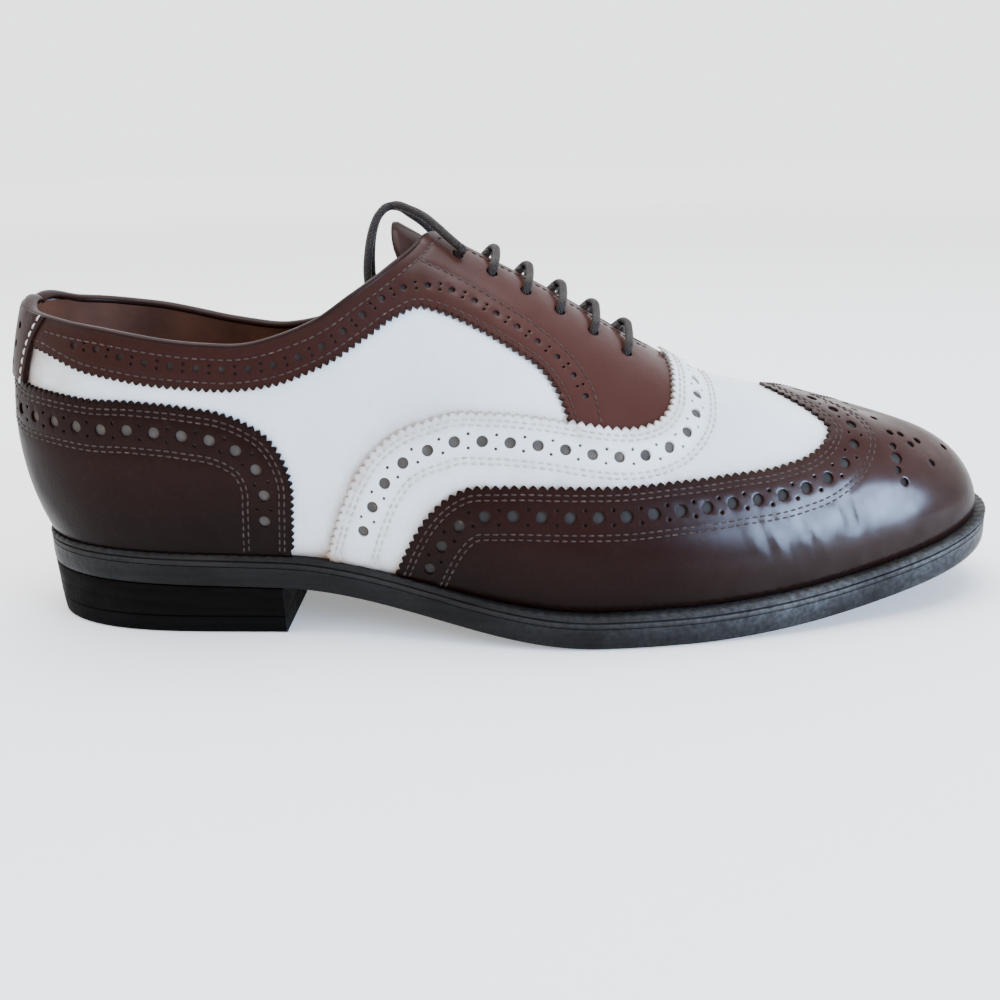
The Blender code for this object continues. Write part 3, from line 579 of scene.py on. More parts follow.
# %% Inked edge
def inked_edge(name, base, layer, dust, roughness, layer_mm, sheen):
    """Inked leather edge: stretched noise for its layers, fine dust and painted sheen in broad
    areas over it.
    """
    made, tree, shader, place = start_material(name, Specular_IOR_Level=sheen)
    stretched = add(tree, "Mapping", {"Vector": place, "Scale": (0.08, 0.08, 1.0)})
    strip = patches(tree, stretched, layer_mm * MM, 0.35, 0.7)
    # The stored amount is dust and painted sheen, the grey coat over the edge
    amount = add(tree, "Attribute", output="Fac", attribute_name="dust")
    area = patches(tree, place, 18 * MM, 0.30, 0.62)
    speck = add(tree, "Math", {
        0: patches(tree, place, 0.9 * MM, 0.35, 0.70, 0.6, detail=3), 1: 0.3
    }, operation="ADD")
    dusty = add(tree, "Math", {0: area, 1: speck}, operation="MULTIPLY")
    dusty = add(tree, "Math", {0: dusty, 1: amount}, operation="MULTIPLY")
    colour = coats(tree, base, (strip, layer), (dusty, dust))
    rub = patches(tree, place, 6 * MM, 0.3, 0.7, 0.22)
    rough = add(tree, "Math", {0: rub, 1: roughness - 0.1}, operation="ADD")
    pits = patches(tree, place, 0.9 * MM, 0.3, 0.7)
    height = add(tree, "Math", {0: strip, 1: pits}, operation="ADD")
    bump = add(tree, "Bump", {"Strength": 0.6, "Distance": 0.12 * MM, "Height": height})
    feed(tree, shader, {"Base Color": colour, "Roughness": rough, "Normal": bump})
    return made


# %% All the materials
WHITE_CALF = white_calf()
BROWN_CALF = brown_calf()
LINING = rough_stuff("lining_leather", "4A2D21", "65402F", 0.55, 9 * MM, ("6B5142", 0.2))
SOCK_LEATHER = rough_stuff("sock_leather", "4A2F22", "6F4B38", 0.6, 12 * MM)
UNDERLAY = rough_stuff("canvas_underlay", "3B3530", "554E47", 0.75, 4 * MM)
# A darker backing for the wing cap's holes than for the others
WING_UNDERLAY = rough_stuff("dark_wing_underlay", "1B1714", "2D2824", 0.75, 4 * MM)
DARK_UNDERLAY = rough_stuff("brown_underlay", "1E1410", "382A24", 0.6, 2 * MM)
BROWN_THREAD = rough_stuff("brown_linen_thread", "1F130E", "3B2A22", 0.6, 2 * MM)
WHITE_THREAD = rough_stuff("white_linen_thread", "A19C93", "CBC8C2", 0.6, 2 * MM, ("857B6E", 0.6))
BRAIDED_COTTON = braided_cotton()
WELT_LEATHER = inked_edge("dusty_welt_leather", "12100E", "1E1B19", "5E5F60", 0.55, 1.2, 0.12)
EDGE_LEATHER = inked_edge("inked_sole_leather", "0A0908", "131110", "4B4D50", 0.42, 1.0, 0.10)
HEEL_LEATHER = inked_edge("inked_heel_leather", "060404", "0B0807", "1E1B19", 0.6, 1.0, 0.03)
HEEL_RUBBER = inked_edge("heel_rubber", "050404", "0A0908", "1C1A18", 0.6, 2.0, 0.03)
print("materials", len(bpy.data.materials))

# %% [markdown]
# ## Laces
# The lace is one round braided cord through twelve plain punched eyelets. Seen from
# outside it is five crossings over the slit, and two ends that run over the tongue and
# down inside the shoe. The ends are free cords, so they come first: each is a tube
# along its own route, and its length is printed.

# %% Routes of the two ends
LACE_RADIUS = 1.25 * MM
LACE_SIDES = 14
SKEW = (0.97, 0.05, 0.24)  # a direction that no lace runs in, to start each round section from
# Sole coordinates, metres, from the top eyelets over the tongue and down inside
OUTER_LACE_END = [
    (0.1365, -0.0070, 0.1097), (0.1330, -0.0054, 0.1126), (0.1293, -0.0033, 0.1158),
    (0.1252, -0.0006, 0.1188), (0.1210, 0.0012, 0.1207), (0.1172, 0.0019, 0.1219),
    (0.1141, 0.0016, 0.1212), (0.1117, 0.0006, 0.1189), (0.1101, -0.0006, 0.1155),
    (0.1091, -0.0020, 0.1117), (0.1085, -0.0035, 0.1076), (0.1082, -0.0048, 0.1035),
    (0.1084, -0.0060, 0.0996), (0.1089, -0.0070, 0.0957), (0.1096, -0.0079, 0.0919),
    (0.1104, -0.0085, 0.0882),
]
INNER_LACE_END = [
    (0.1354, 0.0161, 0.1029), (0.1320, 0.0152, 0.1068), (0.1284, 0.0137, 0.1112),
    (0.1246, 0.0116, 0.1157), (0.1207, 0.0096, 0.1188), (0.1172, 0.0083, 0.1211),
    (0.1140, 0.0080, 0.1213), (0.1114, 0.0089, 0.1194), (0.1096, 0.0101, 0.1163),
    (0.1084, 0.0113, 0.1126), (0.1077, 0.0124, 0.1086), (0.1073, 0.0134, 0.1045),
    (0.1072, 0.0142, 0.1004), (0.1075, 0.0148, 0.0963), (0.1082, 0.0152, 0.0922),
    (0.1090, 0.0153, 0.0882),
]


# %% A curve through points
def flowing(knots, step):
    """Cubic through points: each slope is the mean of its neighbours', weighted by span."""
    knots = np.asarray(knots, float)
    span = np.linalg.norm(np.diff(knots, axis=0), axis=1)
    pull = np.diff(knots, axis=0) / span[:, None]
    middle = (pull[1:] * span[:-1, None] + pull[:-1] * span[1:, None])
    middle = middle / (span[1:] + span[:-1])[:, None]
    slope = np.vstack([pull[:1], middle, pull[-1:]])
    at = running(span)
    here = np.linspace(0, at[-1], max(2, int(round(at[-1] / step)) + 1))
    i = np.clip(np.searchsorted(at, here, side="right") - 1, 0, len(span) - 1)
    h = span[i][:, None]
    t = (here - at[i])[:, None] / h
    start = (2 * t**3 - 3 * t**2 + 1) * knots[i] + (t**3 - 2 * t**2 + t) * h * slope[i]
    return start + (3 * t**2 - 2 * t**3) * knots[i + 1] + (t**3 - t**2) * h * slope[i + 1]


# %% A tube, and the two free ends
def tube(name, path, radius):
    """A round section carried along a path, its ends drawn in to points."""
    ahead = unit(np.gradient(path, axis=0))
    across = unit(np.cross(ahead, SKEW))
    above = np.cross(across, ahead)
    run = running(np.linalg.norm(np.diff(path, axis=0), axis=1))
    from_end = np.minimum(run, run[-1] - run)
    thick = radius * np.sqrt(np.clip(from_end / (0.6 * radius), 0.001, 1))
    angle = np.linspace(0, 2 * np.pi, LACE_SIDES, endpoint=False)
    ring = across[:, None] * np.cos(angle)[:, None] + above[:, None] * np.sin(angle)[:, None]
    points = path[:, None] + ring * thick[:, None, None]
    faces = grid_faces(len(path), LACE_SIDES, wrap_columns=True)
    piece = to_piece(name, points, [faces], BRAIDED_COTTON, "lace_cotton", sharp=80)
    layer = piece.data.uv_layers.new(name="run")
    column, row = faces % LACE_SIDES, faces // LACE_SIDES
    column[:, 2:][column[:, 2:] == 0] = LACE_SIDES
    turn = column * (2 * np.pi * radius * 1000 / LACE_SIDES)
    layer.data.foreach_set("uv", np.stack([run[row] * 1000, turn], axis=-1).astype(np.float32).ravel())
    return piece, float(run[-1])


def lace_end(name, node, route):
    """One free end: a tube along its route from its top eyelet, its length printed."""
    path = flowing(np.array(route) - ORIGIN, 0.4 * MM)
    piece, length = tube(name, path, LACE_RADIUS)
    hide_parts(node)
    print(f"{name}: {length * 1000:.1f} mm")


lace_end("lace_end_outer_braid", "lace_end_outer", OUTER_LACE_END)
lace_end("lace_end_inner_braid", "lace_end_inner", INNER_LACE_END)

# %% [markdown]
# ## Leather laid flat
# Teeth and holes are easiest to draw on flat leather. So the last is unrolled into a
# chart: each rib becomes a straight line from its crest point, in its own direction in
# plan, with its true length. A point of the chart is found on the last again by looking
# for the rib whose line passes through it. Small shapes are corrected for the stretch
# there, so that a round hole is round on the shoe.

# %% The chart
ALONG = np.linspace(-1, 1, 961)
SHARE = np.linspace(0, 1, 161)
BLOCK = 2500


def rib_table():
    """Girth of each rib, and its points and normals at even shares of that girth."""
    tau = np.linspace(0, 1, 241)
    ribs = rib_points(*np.meshgrid(ALONG, tau, indexing="ij"))
    steps = np.linalg.norm(np.diff(ribs, axis=1), axis=2)
    length = np.column_stack([np.zeros(len(ALONG)), np.cumsum(steps, axis=1)])
    even = np.array([np.interp(SHARE * row[-1], row, tau) for row in length])
    along = np.repeat(ALONG[:, None], len(SHARE), axis=1)
    return length[:, -1], rib_points(along, even) - ORIGIN, rib_normals(along, even)


GIRTH, POINTS, NORMALS = rib_table()
CREST = POINTS[:, -1, :2]
DIRECTION = unit(POINTS[:, 0, :2] - CREST)
print("girth at the ball, mm", round(float(np.interp(0.6, ALONG, GIRTH)) * 1000, 1))


# %% To the chart and back
def chart(along, up):
    """Chart point: crest point plus direction times the girth left from there."""
    along = np.asarray(along, float)
    reach = (1 - np.asarray(up)) * np.interp(along, ALONG, GIRTH)
    crest = np.stack([np.interp(along, ALONG, CREST[:, k]) for k in (0, 1)], axis=-1)
    way = np.stack([np.interp(along, ALONG, DIRECTION[:, k]) for k in (0, 1)], axis=-1)
    return crest + unit(way) * reach[..., None]


def locate(spots):
    """(along, up) of chart points: the rib where the cross product changes sign.

    The points are taken in blocks, because each one is set against every rib at once.
    """
    found = np.empty((len(spots), 2))
    for first in range(0, len(spots), BLOCK):
        off = spots[first:first + BLOCK, None] - CREST[None]
        side = DIRECTION[None, :, 0] * off[..., 1] - DIRECTION[None, :, 1] * off[..., 0]
        ahead = (DIRECTION[None] * off).sum(axis=-1)
        turn = (side[:, :-1] * side[:, 1:] <= 0) & (ahead[:, :-1] > -2e-4)
        k = np.where(turn, np.abs(ahead[:, :-1]), np.inf).argmin(axis=1)
        row = np.arange(len(k))
        near, far = side[row, k], side[row, k + 1]
        t = np.clip(near / np.where(near == far, 1, near - far), 0, 1)
        found[first:first + BLOCK, 0] = ALONG[k] + t * (ALONG[1] - ALONG[0])
        found[first:first + BLOCK, 1] = ahead[row, k] * (1 - t) + ahead[row, k + 1] * t
    found[:, 1] = 1 - found[:, 1] / np.interp(found[:, 0], ALONG, GIRTH)
    return found


# %% Onto the last
def on_last(along, up):
    """Points and normals of the last, by mixing four entries of the table."""
    row = (along + 1) / 2 * (len(ALONG) - 1)
    column = up * (len(SHARE) - 1)
    i = np.clip(row.astype(int), 0, len(ALONG) - 2)
    j = np.clip(np.floor(column).astype(int), 0, len(SHARE) - 2)
    a, b = (row - i)[..., None], (column - j)[..., None]
    place, normal = (
        table[i, j] * (1 - a) * (1 - b) + table[i + 1, j] * a * (1 - b)
        + table[i, j + 1] * (1 - a) * b + table[i + 1, j + 1] * a * b
        for table in (POINTS, NORMALS)
    )
    return place, unit(normal)


def surface(spots):
    """Points and normals of the last under chart points."""
    return on_last(*locate(spots).T)


# %% Moving on the chart
def slopes(spots):
    """How the point on the last moves with the chart point, by central differences."""
    e = 0.2 * MM
    ways = [np.array([e, 0.0]), np.array([0.0, e])]
    return np.stack([(surface(spots + w)[0] - surface(spots - w)[0]) / (2 * e) for w in ways], axis=-1)


def nudge(spots, push):
    """Chart points moved so that the point on the last moves by a push, least squares."""
    slope = slopes(spots)
    square = np.einsum("nki,nkj->nij", slope, slope)
    pull = np.einsum("nki,nk->ni", slope, push)
    return spots + np.linalg.solve(square, pull[..., None])[..., 0]


# %% Lines beside a line
def length_of(path):
    """Running length of a chart path on the last."""
    place = surface(path)[0]
    return running(np.linalg.norm(np.diff(place, axis=0), axis=1))


def spaced(path, step):
    """Points at an even step along a path, as near to the one asked as divides it."""
    run = length_of(path)
    at = np.linspace(0, run[-1], max(1, int(round(run[-1] / step))) + 1)
    return np.column_stack([np.interp(at, run, path[:, k]) for k in (0, 1)])


def leftward(path):
    """Unit directions to the left of a path, within the leather: normal cross heading."""
    place, normal = surface(path)
    return unit(np.cross(normal, np.gradient(place, axis=0)))


def beside(path, distance):
    """A path moved to its left by a distance, in steps, evened out after each step."""
    steps = max(1, int(np.ceil(abs(distance) / (1.5 * MM))))
    for _ in range(steps):
        path = nudge(path, leftward(path) * (distance / steps))
        run = running(np.hypot(*np.diff(path, axis=0).T))
        even = np.linspace(0, run[-1], len(path))
        path = np.column_stack([np.interp(even, run, path[:, k]) for k in (0, 1)])
    return path


def edge_path(rows, side=1, step=0.7 * MM):
    """A smooth chart path through (along, up) rows, on the outer (1) or inner (-1) side."""
    rows = np.array(rows)
    return flowing(chart(rows[:, 0] * side, rows[:, 1]), step)


def both_sides(rows):
    """The same edge on the outer and the inner side."""
    return {side: edge_path(rows, side) for side in (1, -1)}


# %% Teeth and holes
# Valley, flank, tip and flank of one tooth, as shares of its depth
TOOTH_OUTLINE = [-0.45, 0.17, 0.55, 0.17]


def pinked(path, pitch, depth):
    """Pinked edge: a zigzag to the left of the path, with blunt tips and valleys."""
    fine = spaced(path, pitch / 4)
    fine = fine[:(len(fine) - 1) // 4 * 4 + 1]  # whole teeth only
    out = np.tile(TOOTH_OUTLINE, len(fine) // 4 + 1)[:len(fine)]
    return nudge(fine, leftward(fine) * (out * depth)[:, None])


def round_hole(centres, radius, count):
    """Rings of chart points that are circles on the last: the slope's inverse square root."""
    slope = slopes(centres)
    square = np.einsum("nki,nkj->nij", slope, slope)
    values, vectors = np.linalg.eigh(square)
    fix = np.einsum("nij,nj,nkj->nik", vectors, 1 / np.sqrt(values), vectors)
    angle = np.linspace(0, 2 * np.pi, count, endpoint=False)
    circle = np.stack([np.cos(angle), np.sin(angle)], axis=-1) * radius
    return centres[:, None] + np.einsum("nij,cj->nci", fix, circle)


# %% [markdown]
# ### Cutting a panel
# A panel is a closed outline in the chart with holes in it. Blender's constrained
# triangulation fills it, keeping every tooth and hole as drawn. Then each point goes
# back onto the last and out along the normal, and the open edges get walls.


# %% Inside and near
def inside(spots, loop):
    """Even-odd rule: a ray to the right crosses the loop an odd number of times."""
    found = np.zeros(len(spots), bool)
    x0, y0 = loop[None, :, 0], loop[None, :, 1]
    x1, y1 = np.roll(x0, -1, axis=1), np.roll(y0, -1, axis=1)
    slant = (x1 - x0) / np.where(y1 == y0, 1e-12, y1 - y0)
    for first in range(0, len(spots), BLOCK):
        x, y = spots[first:first + BLOCK, 0, None], spots[first:first + BLOCK, 1, None]
        cut = ((y0 > y) != (y1 > y)) & (x < x0 + (y - y0) * slant)
        found[first:first + BLOCK] = cut.sum(axis=1) % 2 == 1
    return found


def distance_to(spots, marks):
    """Distance from points to the nearest of some marks, by a balanced tree."""
    tree = KDTree(len(marks))
    wide = np.zeros((len(marks), 3))
    wide[:, :marks.shape[1]] = marks
    for number, mark in enumerate(wide.tolist()):
        tree.insert(mark, number)
    tree.balance()
    ask = np.zeros((len(spots), 3))
    ask[:, :spots.shape[1]] = spots
    return np.array([tree.find(spot)[2] for spot in ask.tolist()])


# %% Points to fill a panel with
def lattice(loop, step):
    """Points of a triangular lattice inside a loop."""
    low, high = loop.min(axis=0), loop.max(axis=0)
    x = np.arange(low[0], high[0], step)
    y = np.arange(low[1], high[1], step * math.sqrt(3) / 2)
    grid = np.stack(np.meshgrid(x, y), axis=-1)
    grid[1::2, :, 0] += step / 2
    grid = grid.reshape(-1, 2)
    return grid[inside(grid, loop)]


def counter_clockwise(loop):
    """The loop in the order that encloses its area on the left."""
    x, y = loop.T
    return loop if (x * np.roll(y, -1) - y * np.roll(x, -1)).sum() > 0 else loop[::-1]


# %% Cutting
# Millimetres to either side of a stitch row, and outside a hole, where points are added
ROW_MARKS = (-0.65, 0, 0.65)
GUARD_RINGS = (0.22, 0.55)
# The lattice keeps this far from edges and holes
EDGE_CLEAR = 0.45 * MM
HOLE_CLEAR = 0.9 * MM


def cut_panel(name, node, rim, punched, lift, wall, step, look, rows=(), openings=(), burnish=0.0):
    """A panel: triangles of the chart inside the rim, lifted by a height, with walls down."""
    rings, centres, radii = punched
    loops = [counter_clockwise(rim), *openings, *rings]
    large = 1 + len(openings)
    fixed = np.concatenate(loops)
    fill = lattice(loops[0], step)
    if len(rows):
        marks = np.concatenate([beside(r, d * MM)[::2] for r in rows for d in ROW_MARKS])
        marks = marks[inside(marks, loops[0])]
        fill = np.concatenate([marks, fill[distance_to(fill, marks) > 0.5 * step]])
    border = np.concatenate(loops[:large])
    fill = fill[distance_to(fill, border) > EDGE_CLEAR]
    for radius in np.unique(radii):
        same = centres[radii == radius]
        clear = distance_to(surface(fill)[0], surface(same)[0]) > radius + HOLE_CLEAR
        count = 12 if radius > SMALL_HOLE else 8
        guards = [round_hole(same, radius + more * MM, count).reshape(-1, 2) for more in GUARD_RINGS]
        fill = np.concatenate([fill[clear], *guards])
    start = np.cumsum([0] + [len(loop) for loop in loops])
    edges = [
        (int(first + k), int(first + (k + 1) % len(loop)))
        for first, loop in zip(start, loops) for k in range(len(loop))
    ]
    # Kind 1 keeps the triangles inside the loops; points nearer than 1e-7 m are one
    made = delaunay_2d_cdt([Vector(p) for p in np.concatenate([fixed, fill])], edges, [], 1, 1e-7)
    spots = np.array([tuple(p) for p in made[0]])
    faces = np.array([tuple(f) for f in made[2]])
    # A triangle whose three corners come from one hole's ring is the plug of that hole
    label = np.concatenate([np.full(len(loop), n) for n, loop in enumerate(loops)])
    tag = np.array([label[s[0]] if len(s) and s[0] < len(label) else -1 for s in made[3]])[faces]
    plug = (tag[:, 0] >= large) & (tag[:, 0] == tag[:, 1]) & (tag[:, 1] == tag[:, 2])
    for opening in openings:
        plug |= inside(spots[faces].mean(axis=1), opening)
    faces = faces[~plug]
    # Triangles that run clockwise are turned over, so that all face out
    a, b, c = (spots[faces[:, k]] for k in range(3))
    turned = (b[:, 0] - a[:, 0]) * (c[:, 1] - a[:, 1]) < (b[:, 1] - a[:, 1]) * (c[:, 0] - a[:, 0])
    faces[turned] = faces[turned][:, ::-1]
    piece = lifted(name, spots, faces, lift, wall, look, rows, border, burnish)
    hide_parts(node)


# %% Lifting and walling
def polish_at(along, up):
    """Wax polish: high on the toe's sides, less on its crest, tip and foot, little elsewhere."""
    toe = smooth((np.abs(along) - 0.60) / 0.2)
    crest = smooth((up - 0.42) / 0.16)
    tip = smooth((np.abs(along) - 0.89) / 0.07)
    foot = 0.25 + 0.75 * smooth((up - 0.10) / 0.14)
    return 0.03 + 0.97 * toe * (1 - 0.65 * crest) * (1 - 0.75 * tip) * foot + 0.25 * crest * (1 - toe)


def lifted(name, spots, faces, lift, wall, look, rows, border, burnish):
    """Panel points out along the normal, its open edges softened and walled."""
    pairs = np.concatenate([faces[:, [0, 1]], faces[:, [1, 2]], faces[:, [2, 0]]])
    both_ways = np.sort(pairs, axis=1)
    _, first, count = np.unique(both_ways, axis=0, return_index=True, return_counts=True)
    open_edges = pairs[first[count == 1]]
    rim = np.unique(open_edges)
    place, normal = surface(spots)
    height = lift(spots) + crease(spots)
    trace = np.zeros(len(spots))
    if len(rows):
        trace = np.exp(-((distance_to(spots, np.concatenate(rows)) / GROOVE_WIDTH) ** 2))
        height = height - GROOVE * trace
    at_border = distance_to(spots[rim], border) < 0.01 * MM
    height[rim] -= np.where(at_border, SOFT_EDGE, SOFT_HOLE)
    top = place + normal * height[:, None]
    low = place[rim] + normal[rim] * (height[rim] - wall)[:, None]
    twin = np.full(len(spots), -1)
    twin[rim] = len(spots) + np.arange(len(rim))
    start, end = open_edges.T
    sides = np.column_stack([start, twin[start], twin[end], end])
    along, up = locate(spots).T
    facts = {
        "edge_mm": distance_to(spots, border) * 1000,
        "foot_mm": up * np.interp(along, ALONG, GIRTH) * 1000,
        # Dirt and painted shade on white calf; the trace adds painted shade along the stitch grooves
        "dirt_and_shade": dirt_and_shade_at(spots, along, up) + 0.30 * trace if look is WHITE_CALF else 0 * up,
        # Burnish and painted light, per piece: lighter and redder where it is lit more
        "burnish": burnish(along, up) if callable(burnish) else burnish + 0 * up,
        "polish": polish_at(along, up),
    }
    facts = {key: np.concatenate([v, v[rim]]) for key, v in facts.items()}
    slot = "white_leather" if look is WHITE_CALF else "brown_leather"
    points = np.concatenate([top, low])
    return to_piece(name, points, [faces, sides], look, slot, sharp=50, **facts)


# %% [markdown]
# ### Creases, soil and painted shade
# Leather keeps the folds of walking. Each row is one crease in the shoe's own
# coordinates: where it starts and ends, how deep and how wide. A crease is a soft
# trough with a low ridge on either side, and it sinks every layer together. Soil and
# painted shade are one number on the white leather: dirt by the welt, darker towards
# the heel, and painted shade in the crevices beside the brown and in the stitch grooves.

# %% Creases
#  along  up     along  up    depth width, millimetres
CREASES = [
    (0.725, 0.280, 0.745, 0.120, 0.30, 1.6),
    (0.736, 0.275, 0.757, 0.110, 0.34, 1.5),
    (0.748, 0.265, 0.768, 0.110, 0.28, 1.4),
    (0.712, 0.270, 0.728, 0.130, 0.20, 1.8),
    (0.797, 0.310, 0.803, 0.200, 0.45, 2.2),
    (0.722, 0.720, 0.716, 0.480, 0.30, 2.6),
    (0.742, 0.640, 0.735, 0.500, 0.18, 2.0),
    (0.700, 0.900, 0.702, 0.600, 0.22, 3.0),
    (-0.720, 0.850, -0.716, 0.480, 0.28, 2.8),
    (-0.700, 0.420, -0.712, 0.150, 0.30, 2.4),
    (-0.735, 0.400, -0.748, 0.160, 0.26, 2.0),
    (0.330, 0.420, 0.372, 0.300, 0.25, 4.0),
    (0.250, 0.340, 0.300, 0.200, 0.20, 4.5),
]


def crease(spots):
    """Sum over creases of minus depth times a bell of the distance, plus side ridges."""
    sunk = np.zeros(len(spots))
    for a0, u0, a1, u1, depth, width in CREASES:
        start, end = chart([a0, a1], [u0, u1])
        run = end - start
        t = ((spots - start) @ run) / (run @ run)
        held = np.clip(t, 0, 1)[:, None]
        off = np.linalg.norm(spots - start - held * run, axis=1) / (width * MM)
        fade = smooth((t + 0.3) / 0.5) * smooth((1.3 - t) / 0.5)
        sunk -= depth * MM * fade * (np.exp(-(off**2)) - 0.35 * np.exp(-((off - 2.2) ** 2)))
    return sunk


def dirt_and_shade_at(spots, along, up):
    """Dirt and painted shade on white leather: dirt fading from the welt, darker towards the
    heel, and painted shade fading from the two overlay edges.
    """
    low = up * np.interp(along, ALONG, GIRTH) * 1000
    amount = 0.8 * np.exp(-low / 2.5) + 0.7 * smooth((0.15 - np.abs(along)) / 0.09)
    # Painted shade in the crevices beside the wing's and the vamp's edges
    for rows, width in ((WING_EDGE, 1.5 * MM), (VAMP_EDGE, 1.6 * MM)):
        path = np.concatenate([*both_sides(rows).values()])
        amount += 0.80 * np.exp(-distance_to(spots, path) / width) * smooth(1.5 - low / 60)
    return np.clip(amount, 0, 0.9)


# %% [markdown]
# ## Punching and stitching
# Brogue punching runs between two double rows of stitches: large holes a set pitch
# apart, with a pair of pinholes between neighbours. Everything is measured from the
# pinked edge, as a closer marks it with dividers.

# %% Sizes of the closing work
FINE_TEETH = 2.2 * MM
COARSE_TEETH = 2.6 * MM
TOOTH = 1.3 * MM
HOLE_RADIUS = 1.70 * MM
PINHOLE_RADIUS = 0.50 * MM
HOLE_PITCH = 7.9 * MM
STITCH = 2.4 * MM
STITCH_RISE = 0.12 * MM
ROW_GAP = 1.5 * MM
FIRST_ROW = 2.0 * MM
PUNCH_LINE = 8.0 * MM
THIRD_ROW = 12.8 * MM
SMALL_HOLE = 1.0 * MM
SMALL_PITCH = 7.3 * MM
GROOVE = 0.18 * MM
GROOVE_WIDTH = 0.55 * MM
BACKING_DEPTH = 0.85 * MM
SOFT_EDGE = 0.22 * MM
SOFT_HOLE = 0.10 * MM
OVERLAY = 1.4 * MM
WING_HEIGHT = 2.6 * MM
LAST_STITCH = 0.012  # share of the girth, just above the welt


# %% Punching beside an edge
def punching(path, pitch, radius, pin_offset=2.0 * MM):
    """Rings of large holes along a path, and of pinhole pairs halfway between them."""
    ends = spaced(path, pitch / 2)
    ends = ends[:(len(ends) - 1) // 2 * 2 + 1]
    large, middle = ends[1::2], ends[2:-1:2]
    left = leftward(ends)[2:-1:2]
    pins = np.concatenate([nudge(middle, left * s * pin_offset) for s in (-1, 1)])
    rings = [*round_hole(large, radius, 20), *round_hole(pins, PINHOLE_RADIUS, 8)]
    radii = np.concatenate([np.full(len(large), radius), np.full(len(pins), PINHOLE_RADIUS)])
    return rings, np.concatenate([large, pins]), radii


def together(*sets):
    """Several sets of punched holes as one."""
    return (
        [ring for s in sets for ring in s[0]],
        np.concatenate([s[1] for s in sets]),
        np.concatenate([s[2] for s in sets]),
    )


def one_side(path, side):
    """The part of a path that lies on its own side of the crest and above the welt."""
    along, up = locate(path).T
    return path[(along * side > 0) & (up > LAST_STITCH) & (up < 1.0)]


def higher(path, least):
    """The part of a path that lies above a share of the girth."""
    return path[locate(path)[:, 1] > least]


def bands(path, sign, side):
    """Double row, punch line and inner double row, all beside one edge."""
    distances = (FIRST_ROW, FIRST_ROW + ROW_GAP, PUNCH_LINE, THIRD_ROW, THIRD_ROW + ROW_GAP)
    lines = [beside(path, sign * d) for d in distances]
    if side:
        lines = [one_side(line, side) for line in lines]
    return lines[2], [lines[0], lines[1], lines[3], lines[4]]


# %% Stitches
def stitches(name, rows, lift, look, slot, pitch=STITCH, thread=0.27 * MM):
    """One grain of thread repeated at every station: a hexagonal rod with dipping ends."""
    x = np.array([-1.0, -0.78, -0.3, 0.3, 0.78, 1.0])
    thick = np.array([0.0, 0.75, 1.0, 1.0, 0.75, 0.0])
    angle = np.linspace(0, 2 * np.pi, 6, endpoint=False)
    y = thick[:, None] * np.cos(angle)
    z = thick[:, None] * np.sin(angle) - 1.1 * (x**4)[:, None]
    rod = np.stack([np.broadcast_to(x[:, None], y.shape), y, z], axis=-1).reshape(-1, 3)
    rod = np.concatenate([rod[:1], rod[6:30], rod[-1:]])
    sides = grid_faces(4, 6, wrap_columns=True) + 1
    ring = np.arange(6)
    ends = np.concatenate([
        np.column_stack([0 * ring, ring + 1, (ring + 1) % 6 + 1]),
        np.column_stack([0 * ring + 25, (ring + 1) % 6 + 19, ring + 19]),
    ])
    marks = [spaced(row, pitch) for row in rows if len(row) > 3]
    centre, heading, normal = [], [], []
    for mark in marks:
        place, up = surface(mark)
        height = lift(mark) + crease(mark) - GROOVE + STITCH_RISE
        centre.append(place + up * height[:, None])
        heading.append(unit(np.gradient(place, axis=0)))
        normal.append(up)
    centre, heading, normal = (np.concatenate(v) for v in (centre, heading, normal))
    across = np.cross(normal, heading)
    scaled = rod * (0.40 * pitch, thread, thread)
    points = (
        centre[:, None] + heading[:, None] * scaled[None, :, :1]
        + across[:, None] * scaled[None, :, 1:2] + normal[:, None] * scaled[None, :, 2:]
    )
    sets = [repeated(faces, len(centre), len(rod)) for faces in (sides, ends)]
    return to_piece(name, points, sets, look, slot, sharp=80)


# %% Discs behind the holes
def backing(name, sets, lifts, look):
    """Discs a little under the panels' holes: the underlay that shows through."""
    places = []
    for (_, centres, radii), lift in zip(sets, lifts):
        rings = [round_hole(c[None], r * 1.3, 10) for c, r in zip(centres, radii)]
        spots = np.concatenate([np.concatenate(rings), centres[:, None]], axis=1).reshape(-1, 2)
        place, normal = surface(spots)
        places.append(place + normal * (lift(spots) + crease(spots) - BACKING_DEPTH)[:, None])
    points = np.concatenate(places).reshape(-1, 11, 3)
    ring = np.arange(10)
    fan = np.column_stack([0 * ring + 10, ring, (ring + 1) % 10])
    faces = repeated(fan, len(points), 11)
    return to_piece(name, points, [faces], look, "lining_leather", sharp=80)


# %% [markdown]
# ## The upper's openings
# The collar, the slit for the lace and the twelve eyelets are laid out first, because
# every layer is cut to them.

# %% Opening
SLIT_HALF = 3.0 * MM
SLIT_END = 0.636
CORNER_LENGTH = 0.020
EYELET_PAIRS = 6
FIRST_EYELET = 0.607
EYELET_SPACING = 10 * MM
EYELET_INSET = (16.5 * MM, 11.5 * MM)
EYELET_RADIUS = 1.8 * MM


def along_where(x):
    """Place along the outer side whose crest point has a given x in sole coordinates."""
    half = ALONG >= 0.05
    return float(np.interp(x - ORIGIN[0], CREST[half, 0], ALONG[half]))


SLIT_FRONT = along_where(SLIT_END * SOLE_LENGTH)


def slit_up(along):
    """Share of the girth at the slit's edge: its half width closes by a square root."""
    closing = np.sqrt(np.clip((SLIT_FRONT - along) / 0.012, 0, 1))
    return 1 - np.maximum(SLIT_HALF * closing, 0.4 * MM) / np.interp(along, ALONG, GIRTH)


